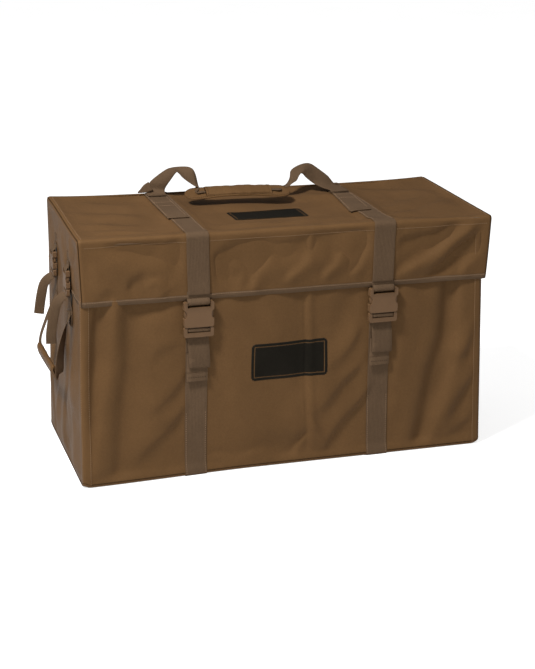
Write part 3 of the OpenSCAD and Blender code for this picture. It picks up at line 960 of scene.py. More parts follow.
# the ink's raised creases are lightened strongly: partly rubbing, partly a painted highlight
print_ink = woven("print_ink", INK_COLOUR, 0.8 * MM, 0.8 * MM, 0.12 * MM, 0.55, wear_and_highlight=2.2, spots=0.25)
plastic = moulded("buckle_plastic", (0.104, 0.057, 0.027))
board_plastic = moulded("board", grey(0.03), 0.6)


# ---- webbing, tape and thread ----

def lay(name, sheet, u_range, v_range, lift, thickness, step=STEP, skew=0.0):
    """Webbing or a patch that lies on a sheet and follows it; skew shifts u over its length."""
    n, m = (max(2, round((end - start) / step)) for start, end in (u_range, v_range))
    u, v = grid(u_range, v_range, n + 1, m + 1)
    shift = skew * (v - v_range[0]) / (v_range[1] - v_range[0])
    points = sheet.at(u + shift, v, lift(v) if callable(lift) else lift)
    obj = grid_object(name, points, paired(u - sum(u_range) / 2, v))
    thicken(obj, thickness, 1)
    return soften(obj, 0.35 * thickness, 2, 50)


def lay_webbing(name, sheet, u_range, v_range, lift, body=None, nodes=(), thickness=WEB_T, **how):
    return dress(lay(name, sheet, u_range, v_range, lift, thickness, **how), webbing, "webbing", body, nodes)


def smooth_path(points, widths, samples):
    """Runs a Catmull-Rom curve through the points, and carries the width directions along."""
    p, w = np.asarray(points, float), unit(widths)
    p = np.vstack([2 * p[0] - p[1], p, 2 * p[-1] - p[-2]])
    w = np.vstack([w[0], w, w[-1]])
    out_p, out_w = [], []
    for k in range(1, len(p) - 2):
        for t in np.arange(samples) / samples:
            weights = 0.5 * np.array([-t + 2 * t**2 - t**3, 2 - 5 * t**2 + 3 * t**3,
                                      t + 4 * t**2 - 3 * t**3, -(t**2) + t**3])
            out_p.append(weights @ p[k - 1:k + 3])
            out_w.append(weights @ w[k - 1:k + 3])
    return np.vstack([out_p, p[-2]]), unit(np.vstack([out_w, w[-2]]))


def ribbon(name, points, widths, width=WEB, body=None, nodes=(), thickness=WEB_T, samples=6, columns=6,
           shares=(1, 1), square=True):
    """Webbing swept along a path; shares narrow it, and square keeps it at right angles to the path."""
    path, across = smooth_path(points, np.broadcast_to(widths, (len(points), 3)), samples)
    tangent = unit(np.gradient(path, axis=0))
    if square:
        across = unit(across - tangent * np.sum(across * tangent, -1, keepdims=True))
    normal = unit(np.cross(tangent, across))
    s = np.linspace(-0.5, 0.5, columns + 1)
    top = np.stack([s * width, thickness / 2 * np.sqrt(np.clip(1 - (1.9 * s) ** 12, 0.12, 1))], -1)
    section = np.vstack([top, top[::-1] * [1, -1]])
    narrow = np.interp(np.linspace(0, 1, len(path)), np.linspace(0, 1, len(shares)), shares)
    rings = (path[:, None] + across[:, None] * section[None, :, :1] * narrow[:, None, None]
             + normal[:, None] * section[None, :, 1:])
    obj = mesh_object(name, *swept(rings, paired(section[:, 0], run_along(path)[:, None])))
    return dress(soften(obj, 0.2 * thickness, 1, 60), webbing, "webbing", body, nodes)


def tube(path, radius, sides=8):
    """A round cord along a path."""
    tangent = unit(np.gradient(path, axis=0))
    side = unit(np.cross(tangent, unit([0.31, 0.17, 0.94])))
    up = np.cross(tangent, side)
    turn = np.arange(sides) * 2 * pi / sides
    rings = path[:, None] + radius * (side[:, None] * np.cos(turn)[None, :, None]
                                      + up[:, None] * np.sin(turn)[None, :, None])
    return swept(rings, paired(turn * 2 * MM, run_along(path)[:, None]))


def hem_tape(sheet, us, v, reach, out=1.0 * MM, inside=2.4 * MM):
    """Binding folded over an edge of a sheet: reach is how far it goes in from the edge at v."""
    rows = [sheet.at(us, v + into, lift)
            for into, lift in ((reach, out - 0.25 * MM), (reach * 0.93, out), (0, out), (0, 0), (0, -inside),
                               (reach * 0.93, -inside))]
    edge, further_in = rows[3], sheet.at(us, v + np.sign(reach) * 4 * MM)
    rows[3] = edge + unit(edge - further_in) * 0.9 * MM - (rows[2] - edge) * 0.8
    run = np.linspace(0, 1, len(us))[:, None] * abs(us[-1] - us[0])
    return swept(np.stack(rows, 1), paired(np.linspace(0, 2.4 * abs(reach), len(rows)), run))


def resample(path, spacing):
    """Evenly spaced points along a path, and the directions there."""
    run = run_along(path)
    where = np.arange(spacing / 2, run[-1], spacing)
    points, ahead = (np.stack([np.interp(at, run, path[:, k]) for k in range(3)], -1)
                     for at in (where, where + spacing / 4))
    return points, unit(ahead - points + 1e-9)


def stitches(name, paths, finish, slot, body, length=3.4 * MM):
    """Raised thread stitches along some paths, as one mesh of little five-sided spindles."""
    gap, radius = 1.8 * MM, 0.5 * MM
    turn = np.arange(5)[:, None] * 2 * pi / 5
    points, faces = [], []
    for path in paths:
        for middle, ahead in zip(*resample(path, length + gap)):
            side = unit(np.cross(ahead, [0.21, 0.35, 0.91]))
            ring = middle + radius * (side * np.cos(turn) + np.cross(ahead, side) * np.sin(turn))
            start, half, shoulder = 12 * len(points), ahead * length / 2, ahead * length * 0.3
            points.append(np.vstack([middle - half, ring - shoulder, ring + shoulder, middle + half]))
            for k in range(1, 6):
                n = k % 5 + 1
                faces += [[start, start + n, start + k], [start + k, start + n, start + 5 + n, start + 5 + k],
                          [start + 11, start + 5 + k, start + 5 + n]]
    obj = mesh_object(name, points, faces, np.zeros((12 * len(points), 2)))
    return dress(obj, finish, slot, body)


def box_stitch(sheet, u_range, v_range, lift):
    """The outline and the cross of a box stitch on a sheet."""
    (u0, u1), (v0, v1) = u_range, v_range
    ends = ((u0, v0, u1, v0), (u0, v1, u1, v1), (u0, v0, u0, v1), (u1, v0, u1, v1), (u0, v0, u1, v1),
            (u0, v1, u1, v0))
    return [sheet.at(np.linspace(a, c, 24), np.linspace(b, d, 24), lift) for a, b, c, d in ends]


# ---- the body ----

def make_corner_band(s, inward, name, nodes):
    """A doubled strip up one corner of the body; returns its two rows of stitching."""
    edge = s - inward * 2 * MM
    s0, s1 = sorted((edge, edge + inward * 22 * MM))
    foot, top = FOOT * 0.8, wall_v(RIM_Z - 8 * MM)
    band = lay("corner_band_" + name, wall, (s0, s1), (foot, top), 0.1 * MM, 0.7 * MM)
    dress(band, fabric, "coated_fabric", "bag", nodes)
    vs = np.linspace(foot + 4 * MM, top, 150)
    return [wall.at(row, vs, 0.9 * MM) for row in (s0 + 2.2 * MM, s1 - 2.2 * MM)]


def make_body():
    wall.build("body_shell", fabric, "coated_fabric", "bag",
               ["front_panel", "back_panel", "left_end_panel", "right_end_panel"])
    half_x, half_y = BODY_X - FOOT_R, BODY_Y - FOOT_R
    bottom = Sheet((-half_x, half_x), (-half_y, half_y), 6 * MM, bottom_place)
    bottom.build("body_bottom", fabric, "coated_fabric", "bag", ["bottom_panel"])
    rim = hem_tape(wall, np.linspace(0, ROUND, 500), WALL_TOP, -HEM)
    dress(mesh_object("rim_binding", *rim), tape, "binding", "bag")
    lines = make_corner_band(front_s(-BODY_X), 1, "front_left", ["corner_bands"])
    lines += make_corner_band(front_s(BODY_X), -1, "front_right", [])
    lines += make_corner_band(back_s(-BODY_X), -1, "back_left", [])
    lines += make_corner_band(back_s(BODY_X), 1, "back_right", [])
    lines.append(wall.at(np.linspace(0, ROUND, 600), WALL_TOP - 9 * MM, 0.9 * MM))
    stitches("body_stitches", lines, thread, "binding", "bag")
    # the base seam as a nearly black cord: the seam, painted as dark as the shade in its groove
    base = wall.at(np.linspace(0, ROUND, 700), wall_v(8 * MM), 0.2 * MM)
    dress(mesh_object("body_base_seam", *tube(base, 0.9 * MM)), seam, "coated_fabric", "bag")


def make_board():
    """The stiff board on the bottom."""
    low_b, high_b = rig.box("base_board")

    def place(x, y):
        return np.stack([x, y, high_b[2] + 0.4 * MM * lumps(x, y, 120 * MM, 71)], -1)
    board = Sheet((low_b[0], high_b[0]), (low_b[1], high_b[1]), 12 * MM, place)
    soften(board.build("base_board_sheet", board_plastic, "board", "bag", ["base_board"],
                       breadth("base_board", "z")), 1.2 * MM)


def make_dividers():
    """The slotted dividers, bound along their tops."""
    bottom, top = low("long_divider", "z"), high("long_divider", "z")
    thick = breadth("long_divider", "y")
    slack = 11 * MM                      # keeps the dividers clear of the folds in the walls
    span_x = low("long_divider", "x") + slack, high("long_divider", "x") - 2 * slack
    span_y = low("cross_dividers", "y") + slack, high("cross_dividers", "y") - slack
    spread_x = breadth("cross_dividers", "x")
    count = round(2 * BODY_X / (BODY_X - spread_x / 2)) - 1     # the dividers part the bag evenly
    places = [mid("cross_dividers", "x") + (k - (count - 1) / 2) * spread_x / (count - 1)
              for k in range(count)]

    def divider(name, span, place, rows, nodes):
        sheet = Sheet(span, (bottom, top), 8 * MM, place)
        sheet.build(name, lining, "divider_fabric", "bag", nodes, thick)
        return hem_tape(sheet, np.linspace(*span, rows), top, -10 * MM, 0.7 * MM, thick + 0.7 * MM)

    def long_place(x, z):
        to_cross = np.min([np.abs(x - p) for p in places], axis=0)
        wave = 3 * MM * lumps(x, z, 150 * MM, 72) * smooth(to_cross / (40 * MM))
        return np.stack([x, -thick / 2 + wave, z], -1)

    def cross_place(k):
        def place(y, z):
            wave = 3.5 * MM * lumps(y, z, 130 * MM, 80 + k) * smooth(np.abs(y) / (50 * MM))
            return np.stack([places[k] + thick / 2 + wave, y, z], -1)
        return place
    tapes = [divider("long_divider_panel", span_x, long_place, 200, ["long_divider"])]
    for k in range(count):
        nodes = [] if k else ["cross_dividers"]
        tapes.append(divider(f"cross_divider_panel_{k + 1}", span_y, cross_place(k), 80, nodes))
    dress(joined("divider_binding", tapes), tape, "binding", "bag")


# ---- the lid ----

def make_lid():
    cover.build("lid_cover", fabric, "coated_fabric", "lid", ["lid_top", "lid_front_flap"])
    row_in, proud = 9.5 * MM, 1.3 * MM           # the hem's stitching: how far in, and how far out
    tapes = [hem_tape(cover, np.linspace(-COVER_U, COVER_U, 260), 0, HEM)]
    rows = [cover.at(np.linspace(-COVER_U, COVER_U, 300), row_in, proud),
            cover.at(np.linspace(-COVER_U + HEM, COVER_U - HEM, 300), DROP - 9 * MM, 0.2 * MM)]
    cords = []
    for side, side_name in SIDES:
        sheet = end_flaps[side]
        sheet.build(f"lid_{side_name}_end_flap", fabric, "coated_fabric", "lid", [f"lid_{side_name}_flap"])
        tapes.append(hem_tape(sheet, np.linspace(0, FLAP_LEN, 110), 0, HEM))
        rows.append(sheet.at(np.linspace(0, FLAP_LEN, 120), row_in, proud))
        vs = np.linspace(2 * MM, COVER_END - 2 * MM, 260)
        cords.append(tube(cover.at(side * COVER_U, vs, 0.3 * MM), 1.0 * MM))
        on_top = np.linspace(COVER_TOP, COVER_END - HEM, 200)
        rows.append(cover.at(side * (COVER_U - 9 * MM), on_top, 0.2 * MM))
    dress(joined("lid_hem_tape", tapes), tape, "binding", "lid", ["lid_hem_binding"])
    # the piping cords are nearly black: painted shade of the groove along each edge seam
    dress(joined("lid_seams", cords), seam, "coated_fabric", "lid")
    stitches("lid_stitches", rows, thread, "binding", "lid")


def make_hinge():
    """The cloth that joins the back of the body to the lid, and the webbing that bridges it."""
    back, top = BODY_Y + 1.2 * MM, TOP_Z + 0.9 * MM
    bend, rise, over_top = 7 * MM, 46 * MM, 7 * MM

    def place(u, v):
        angle = np.clip((v - rise) / bend, 0, pi / 2)
        y = back - bend * (1 - np.cos(angle)) - np.maximum(v - rise - bend * pi / 2, 0)
        z = top - bend - rise + np.minimum(v, rise) + bend * np.sin(angle)
        x = np.where(u > 0, u * 0.985, u) + 0 * v
        on_lid = smooth((v - rise) / bend)
        x = lean(x, z * 0 + RIM_Z) * (1 - on_lid) + x * on_lid
        return np.stack([-x, y + 0.5 * MM * lumps(u, v, 40 * MM, 91), z], -1)
    half = BODY_X - 6 * MM
    strip = Sheet((-half, half), (0, rise + bend * pi / 2 + over_top), STEP, place)
    hinge = strip.build("lid_hinge_strip", fabric, "coated_fabric", thickness=0.8 * MM)
    start, end = (0, back, top - 12 * MM), (0, back - 12 * MM, top)
    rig.blend(hinge, "bag", "lid", start, end)
    for side, name in SIDES:
        out, over = back + 1.0 * MM + WEB_T / 2, top + 0.8 * MM + WEB_T / 2
        run = [(out, top - 42 * MM), (out, top - 24 * MM), (out, top - 8 * MM),
               (out - 3 * MM, over - 2.6 * MM), (out - 10 * MM, over), (out - 26 * MM, over)]
        points = [(side * STRAP_X, y, z) for y, z in run]
        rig.blend(ribbon(f"hinge_webbing_{name}", points, (1, 0, 0), samples=8), "bag", "lid", start, end)


# ---- the load straps and the front straps ----

def make_load_strap(side, name):
    """The strap that runs up the front, under the bottom and up the back."""
    x, half = side * STRAP_X, WEB / 2
    foot, top = FOOT * 0.15, BUCKLE_Z - 5 * MM
    front = lay_webbing(f"load_strap_front_{name}", wall, (front_s(x - half), front_s(x + half)),
                        (foot, wall_v(top)), 0.15 * MM, None, [f"load_strap_{name}"])
    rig.blend(front, "bag", f"front_{name}_insert", (x, -BODY_Y, 40 * MM), (x, -BODY_Y, top - 2 * MM))
    reach = BODY_Y - FOOT_R + 2 * MM
    points = [(x, y, CHANNEL / 2 + 0.1 * MM) for y in np.linspace(-reach, reach, 12)]
    ribbon(f"load_strap_base_{name}", points, (1, 0, 0), WEB, "bag", samples=2)
    s0, s1 = back_s(x + half), back_s(x - half)
    lay_webbing(f"load_strap_back_{name}", wall, (s0, s1), (foot, wall_v(RIM_Z - 8 * MM)), 0.15 * MM, "bag")
    lines = box_stitch(wall, (s0 + 5 * MM, s1 - 5 * MM), (wall_v(455 * MM), wall_v(495 * MM)), 1.8 * MM)
    for s in (front_s(x - half + 3 * MM), front_s(x + half - 3 * MM)):
        lines.append(wall.at(s, np.linspace(FOOT, wall_v(150 * MM), 60), 1.8 * MM))
    for s in (s0 + 3 * MM, s1 - 3 * MM):
        lines.append(wall.at(s, np.linspace(FOOT, wall_v(452 * MM), 140), 1.8 * MM))
    stitches(f"load_strap_stitches_{name}", lines, thread, "webbing", "bag")


def make_front_tail(side, name):
    """The strap's run through the ladder lock, and the loose end that hangs below it, folded back."""
    bar, insert = (side * STRAP_X, BUCKLE_Y, BUCKLE_Z), f"front_{name}_insert"
    run = [(0, 8.1, -12), (0, 8.0, 4), (0, 7.6, 13), (0, 6.2, 18.2), (0, 2.5, 19.7), (0, -2.5, 19.6),
           (0, -4.2, 18), (0, -4.3, 14.4), (0, -2.6, 11.8), (0, 3, 11.5), (0, 5.9, 10), (0, 6.3, 4),
           (0.2, 6.0, -3), (0.6, 4.2, -12), (1.4, 2.0, -26), (2.4, 1.0, -46), (3.2, 1.2, -62),
           (3.5, 2.0, -71), (3.5, 3.4, -74), (3.4, 4.7, -70), (3.0, 4.9, -52)]
    ribbon(f"front_{name}_tail_loop", mm(run, bar), (1, 0, -0.02), WEB - 2 * MM, insert,
           [f"front_{name}_tail"])
    end = [(-0.5, 6.9, -40), (-1, 6.7, -60), (-1.4, 6.3, -90), (-1.5, 5.8, -103), (-1.5, 5.0, -105.6),
           (-1.5, 4.2, -103.5), (-1.5, 4.3, -92), (-1.5, 4.6, -86)]
    ribbon(f"front_{name}_tail_end", mm(end, bar), (1, 0, 0.02), WEB - 2 * MM, insert)
    reach = WEB / 2 / MM - 4
    row = mm([(across - 1.5, 3.3, -96) for across in np.linspace(-reach, reach, 20)], bar)
    stitches(f"front_{name}_tail_stitches", [row], dark_thread, "webbing", insert)


def stand_off(v):
    """The lid strap leaves the cloth on its way down to the buckle, and where it turns over the edge."""
    return 0.15 * MM + 2.6 * MM * smooth((110 * MM - v) / (96 * MM)) + 0.8 * MM * at_bend(v, 22 * MM)


def make_lid_strap(side, name):
    """The strap over the lid, and its loop round the receiver's bar."""
    x = side * STRAP_X
    edges = x - WEB / 2 + 3 * MM, x + WEB / 2 - 3 * MM
    lay_webbing(f"lid_strap_cover_{name}", cover, (x - WEB / 2, x + WEB / 2),
                (12 * MM, top_v(BODY_Y - 4 * MM)), stand_off, "lid", [f"lid_strap_{name}"])
    bar = x, mid(f"front_{name}_receiver", "y"), BUCKLE_Z + 0.95 * (BUCKLE_TOP - BUCKLE_Z)
    run = [(0, 4.6, 26), (0, 4.5, 16), (0, 4.4, 8), (0, 4.1, 2), (0, 2.9, -2.7), (0, 0, -4.0),
           (0, -2.9, -2.7), (0, -4.0, 0.5), (0, -3.4, 4.5), (0, -0.6, 8.0), (0, 1.6, 10.2)]
    ribbon(f"lid_strap_loop_{name}", mm(run, bar), (1, 0, 0), WEB, "lid")
    lines = [cover.at(np.linspace(*edges, 20), v, 1.75 * MM) for v in (20 * MM, 4 * MM)]
    vs = np.linspace(COVER_TOP, top_v(BODY_Y - 10 * MM), 130)
    lines += [cover.at(u, vs, 1.75 * MM) for u in edges]
    stitches(f"lid_strap_stitches_{name}", lines, thread, "webbing", "lid")


# ---- the top handle ----

def make_handle_base(side, name):
    """The flat part of the top handle's webbing, sewn along the lid."""
    if side == LEFT:
        centre, skew, front, rear = -222 * MM, 1 * MM, OVERLAP_Y, 178 * MM
    else:
        centre, skew, front, rear = 199 * MM, 16 * MM, OVERLAP_Y - 24 * MM, 128 * MM
    half, lift = WEB / 2 - 1 * MM, WEB_T + 0.35 * MM
    across = centre - half, centre + half
    lay_webbing(f"handle_webbing_flat_{name}", cover, across, (top_v(front), top_v(rear)), lift,
                "lid", skew=skew)
    lay_webbing(f"handle_webbing_fold_{name}", cover, across, (top_v(front - 1 * MM), top_v(front + 20 * MM)),
                lift + WEB_T, "lid")

    def row(from_middle, ys):
        us = centre + skew * (ys - front) / (rear - front) + from_middle
        return cover.at(us, top_v(ys), lift + WEB_T + 0.2 * MM)
    inner = half - 3 * MM
    lines = [row(np.linspace(-inner, inner, 20), y)
             for y in (front + 16 * MM, front + 117 * MM, front + 150 * MM, rear - 22 * MM)]
    lines += [row(edge, np.linspace(front + 20 * MM, rear - 24 * MM, 90)) for edge in (-inner, inner)]
    stitches(f"handle_base_stitches_{name}", lines, thread, "webbing", "lid")


def make_handle_loops():
    """The free webbing on each side: it lifts off the lid, folds over and runs down to the grip."""
    left = mm([(-221, 140, 565.4), (-221, 160, 566), (-219, 172, 573), (-213, 168, 588), (-200, 160, 605),
               (-189, 152, 618), (-182, 146, 623), (-169, 138, 620), (-153, 130, 616), (-143, 124, 610),
               (-137, 118, 601), (-132, 112, 590)])
    left_widths = [(1, 0, 0), (0.92, -0.4, 0), (0.8, -0.6, 0.04), (0.72, -0.69, -0.05), (0.49, -0.87, -0.02),
                   (0.28, -0.96, 0.01), (0.17, -0.99, -0.01), (-0.03, -0.95, -0.32), (-0.26, -0.79, -0.55),
                   (-0.27, -0.7, -0.66), (-0.28, -0.83, -0.48), (-0.11, -0.99, -0.11)]
    right = mm([(210, 84, 565.4), (212, 104, 566), (204, 118, 568), (195, 128, 571), (178, 138, 585),
                (159, 143, 600), (145, 144, 611), (133, 141, 611), (116, 134, 603), (102, 128, 596),
                (93, 122, 585), (81, 116, 578)])
    right_widths = [(-1, -0.1, 0), (-0.98, -0.2, 0), (-0.9, -0.45, 0), (-0.85, -0.52, -0.06),
                    (-0.91, -0.32, -0.28), (-0.82, -0.47, -0.34), (-0.7, -0.63, -0.34), (-0.53, -0.72, -0.45),
                    (-0.22, -0.79, -0.57), (-0.16, -0.83, -0.53), (-0.4, -0.83, -0.39), (-0.5, -0.85, -0.1)]
    shares = [1] * 9 + [0.92, 0.8, 0.65, 0.55, 0.5, 0.5]
    for (side, name), start, widths in zip(SIDES, (left, right), (left_widths, right_widths)):
        finish = on_grip([(side * share * GRIP_LEN, 3 * MM, 5.5 * MM + 3 * MM * (0.4 - share))
                          for share in (0.4, 0.33, 0.25)])
        loop = ribbon(f"handle_loop_{name}", np.vstack([start, finish]), widths + [(0, -1, 0)] * 3,
                      WEB - 4 * MM, None, [f"handle_webbing_{name}"], samples=10, columns=8,
                      shares=shares, square=False)
        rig.blend(loop, "lid", "grip", tuple(start[2]), tuple(finish[0]))
    rear = mm([(-262, 172, 567.5), (-252, 171, 572), (-243, 170, 577), (-232, 168, 583)])
    corner = ribbon("handle_loop_rear_left", rear, (0.3, -0.3, -0.9), WEB - 30 * MM, samples=8, columns=8,
                    shares=[0.12, 0.6, 1, 1.1])
    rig.blend(corner, "lid", "grip", tuple(left[2]), tuple(on_grip([(-0.4 * GRIP_LEN, 0, 0)])[0]))


def loft(name, path, sections, body, nodes=()):
    """A closed form in fabric through rings, each an (m, 3) array of offsets from its path point."""
    rings = np.asarray(path)[:, None] + np.asarray(sections)
    round_it = np.cumsum(np.linalg.norm(np.diff(rings, axis=1, append=rings[:, :1]), axis=2), axis=1)
    obj = mesh_object(name, *swept(rings, paired(round_it, run_along(path)[:, None])))
    return dress(obj, fabric, "coated_fabric", body, nodes)


GRIP_TURN = np.array(Matrix.Rotation(-0.075, 3, "Z") @ Matrix.Rotation(0.3, 3, "X"))


def on_grip(offsets):
    """Places from the grip's middle: the limp grip lies with its front edge down, a little askew."""
    middle = np.array([GRIP_X - 5 * MM, GRIP_Y + 4 * MM, GRIP_Z - 3 * MM])
    return middle + np.asarray(offsets, float) @ GRIP_TURN.T


def bowed(value, power=0.7):
    """A sine or cosine pushed outwards, which squares up a round section."""
    return np.sign(value) * np.abs(value) ** power


def rings_of(wide, thick):
    """Rings across a path that runs along x."""
    return np.stack([0 * wide, wide, thick], -1)


def make_grip():
    """A flat pad with round ends, arched a little, and the cloth tube that wraps its middle."""
    half, round_r, arch, plump_half = GRIP_LEN / 2, 24 * MM, 5 * MM, 19 * MM
    t = np.sin(np.linspace(-pi / 2, pi / 2, 90))
    turn = np.linspace(0, 2 * pi, 40, endpoint=False)
    path = np.stack([half * t, 0 * t, arch * (1 - t ** 2)], -1)
    into_end = ((np.abs(t) * half - (half - round_r)) / round_r).clip(0, 1)
    round_end = np.sqrt(np.clip(1 - into_end ** 2, 0.02, 1))
    wide = 25 * MM * round_end * (1 - 0.2 * np.exp(-((np.abs(t) - 0.05) / 0.5) ** 4))
    thick = 3.0 * MM * (0.45 + 0.55 * round_end)
    across = wide[:, None] * bowed(np.cos(turn))
    rise = thick[:, None] * bowed(np.sin(turn))
    rise = rise + 0.7 * MM * lumps(path[:, :1] + 0 * across, across, 18 * MM, 95)
    loft("handle_pad", on_grip(path), rings_of(across, rise) @ GRIP_TURN.T, "grip", ["handle_grip"])
    edges = [on_grip(path + rings_of(sign * (wide - 3 * MM), thick * 0.95))[6:-6] for sign in (-1, 1)]
    t = np.linspace(-1, 1, 60)
    turn = np.linspace(0, 2 * pi, 28, endpoint=False)
    path = np.stack([0.31 * GRIP_LEN * t, 2 * MM + 0 * t, 2 * MM + arch * (1 - (0.6 * t) ** 2)], -1)
    plump = (1 + 0.03 * np.sin(7 * t) + 0.03 * np.sin(19 * t + 1))[:, None]
    across = plump_half * plump * np.cos(turn)
    rise = 6.6 * MM * plump * bowed(np.sin(turn), 0.85)
    rise += 0.7 * MM * lumps(path[:, :1] + 0 * across, 0.02 * turn + 0 * across, 16 * MM, 97)
    rings = rings_of(across, rise)
    loft("handle_tube", on_grip(path), rings @ GRIP_TURN.T, "grip")
    ends = [on_grip(path[k] + rings[k][1:14] * 1.05) for k in (2, 57)]
    stitches("handle_grip_stitches", edges + ends, dark_thread, "binding", "grip", STITCH)
    edge = on_grip(path + np.stack([0 * t, -19.6 * MM * plump[:, 0], -0.5 * MM + 0 * t], -1))
    dress(mesh_object("handle_tube_seam", *tube(edge, 1.2 * MM)), fabric, "coated_fabric", "grip")


# ---- the ends ----

def at_end(side, rows, y=0.0):
    """Points given as outward distance, y and z in millimetres, on one end of the bag."""
    return mm(rows, (0, y, 0)) * [side, 1, 1]


def wall_out(side, y, z):
    """How far out the wall is at a place on an end, in millimetres."""
    return abs(float(wall.at(end_s(side, y), wall_v(z))[0])) / MM


def flap_out(side, y, z):
    return abs(float(end_flaps[side].at(end_flap_u(side, y), z - HEM_Z)[0])) / MM


def make_upper_strap(side, name, y, nodes):
    """From the lid's end flap down to and round the receiver's bar, and back up."""
    bar, z = END_BUCKLE_X / MM, (END_BUCKLE_Z + 0.95 * (END_BUCKLE_TOP - END_BUCKLE_Z)) / MM
    top, edge = flap_out(side, y, 497 * MM) + 0.9, flap_out(side, y, 480 * MM) + 0.9
    rows = [(top, 0, 506), (top, 0, 496), (edge + 0.2, 0, 484), (bar - 3.4, 0, 474), (bar - 3.2, 0, z + 2),
            (bar - 2.2, 0, z - 2.2), (bar, 0, z - 3.1), (bar + 2.3, 0, z - 2.1), (bar + 3.1, 0, z + 0.6),
            (bar + 1.2, 0, z + 5), (edge + 2.4, 0, z + 12), (edge + 1.7, 0, 487)]
    ribbon(name + "_upper_strap", at_end(side, rows, y), (0, 1, 0), END_WEB - 1 * MM, "lid", nodes, END_WEB_T)


def make_lower_strand(side, name, y, nodes):
    """From the body's end up to the insert."""
    bar, z = END_BUCKLE_X / MM, END_BUCKLE_Z / MM
    base = wall_out(side, y, 372 * MM) + 0.9
    rows = [(wall_out(side, y, 352 * MM) + 0.8, 0, 352), (base, 0, 372), (bar - 6.2, 0, 392),
            (bar - 5.5, 0, z + 1), (bar - 5.3, 0, z + 8)]
    strand = ribbon(name + "_lower_strand", at_end(side, rows, y), (0, 1, 0), END_WEB - 1 * MM, None, nodes,
                    END_WEB_T)
    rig.blend(strand, "bag", name + "_insert", (side * base * MM, y, 362 * MM),
             (side * bar * MM, y, END_BUCKLE_Z))


def make_strap_end(side, name, y, extra):
    """Through the insert's ladder lock, and out to the loose end that hangs and turns to the front."""
    bar, z = END_BUCKLE_X / MM, END_BUCKLE_Z / MM
    run = [(-5.2, 0, 6), (-4.6, 0, 12), (-2.2, 0, 14.4), (1.2, 0, 14.4), (2.9, 0, 12.5), (2.6, 0, 9.2),
           (-1.0, 0, 8.35), (-3.6, 0, 7), (-4.2, 0, 2), (-1.0, 2.5, -3), (9, 13, -11), (19, 24, -28),
           (24, 30, -52), (28, 33, -78), (31, 34, -102)] + extra
    widths = [(0, 1, 0)] * 9 + [(0.05 * side, 1, 0.1), (0.35 * side, 0.85, 0.4), (0.7 * side, 0.6, 0.35),
                                (0.9 * side, 0.35, 0.2)]
    widths += [(0.97 * side, 0.22, 0.1)] * (len(run) - len(widths))
    points = at_end(side, np.add(run, (bar, 0, z)), y)
    ribbon(name + "_strap_end", points, widths, END_WEB - 2 * MM, name + "_insert",
           [name + "_tail"], END_WEB_T)


def make_end_strap(side, end_name, row, row_name):
    y, name = row * END_STRAP_Y, f"{end_name}_{row_name}"
    make_upper_strap(side, name, y, [end_name + "_upper_straps"] if row == FORE else [])
    make_lower_strand(side, name, y, [end_name + "_lower_straps"] if row == FORE else [])
    make_strap_end(side, name, y, [(31, 36, -124)] if row == FORE else [])


def make_end_handle(side, body):
    """The webbing of an end handle, hanging from its anchors; returns its sagging middle."""
    anchor = wall_out(side, 0.08, PIVOT_Z) + 2.4
    pivot, z = PIVOT_X / MM + 0.5, PIVOT_Z / MM
    rows = [(anchor - 0.3, 80, 2), (anchor, 80, -1), (pivot, 80, -6), (486, 81, -28), (502, 82, -68),
            (514, 79, -100), (519, 66, -120), (519, 40, -127), (516, 10, -132), (512, -20, -138),
            (509, -50, -141), (504, -76, -146), (502, -84, -134), (499, -85, -96), (488, -83, -42),
            (pivot, -80, -6), (anchor, -80, -1), (anchor - 0.3, -80, 2)]
    points = at_end(side, np.add(rows, (0, 0, z)))
    widths = np.cross(unit(np.gradient(points, axis=0)), unit([side, 0, 0.25]))
    widths[12:15] = (-0.85, side * 0.5, 0), (-0.8, side * 0.6, 0), (-0.5, side * 0.85, 0)
    strap = ribbon(body + "_strap", points, widths, END_WEB - 1 * MM, None, [body + "_webbing"], END_WEB_T, 8)
    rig.blend(strap, "bag", body, (side * PIVOT_X, 0, PIVOT_Z + 4 * MM), (side * PIVOT_X, 0, PIVOT_Z - 8 * MM))
    return points[7:11]


def make_end_sleeve(side, body, middle):
    """The padded sleeve round the middle of an end handle."""
    t = np.linspace(0, 1, 50)
    path = np.stack([np.interp(t * 3, range(4), middle[:, k]) for k in range(3)], -1)
    path[:, 1] = (62 - 136 * t) * MM
    path[:, 2] += 1.5 * MM * np.sin(pi * t)
    turn = np.linspace(0, 2 * pi, 32, endpoint=False)
    ends = smooth(np.minimum(t, 1 - t) / 0.05)
    plump = 1 + 0.05 * np.sin(8 * t + 1) + 0.04 * np.sin(21 * t)
    tall = (16.5 * MM * plump * (0.8 + 0.2 * ends))[:, None] * bowed(np.sin(turn), 0.8)
    thick = (6.8 * MM * plump * (0.35 + 0.65 * ends))[:, None] * np.cos(turn)
    thick = thick + 0.8 * MM * lumps(0.03 * turn + 0 * thick, path[:, 1:2] + 0 * thick, 15 * MM, 99)
    up, out = np.array([side * 0.3, 0, 0.95]), np.array([side * 0.95, 0, -0.3])
    rings = tall[..., None] * up + thick[..., None] * out
    loft(body + "_sleeve", path, rings, body, [body + "_grip"])
    rows = [path[3:-3] + rings[3:-3, k] * 1.03 for k in (3, 13)]
    stitches(body + "_sleeve_stitches", rows, thread, "binding", body, STITCH)


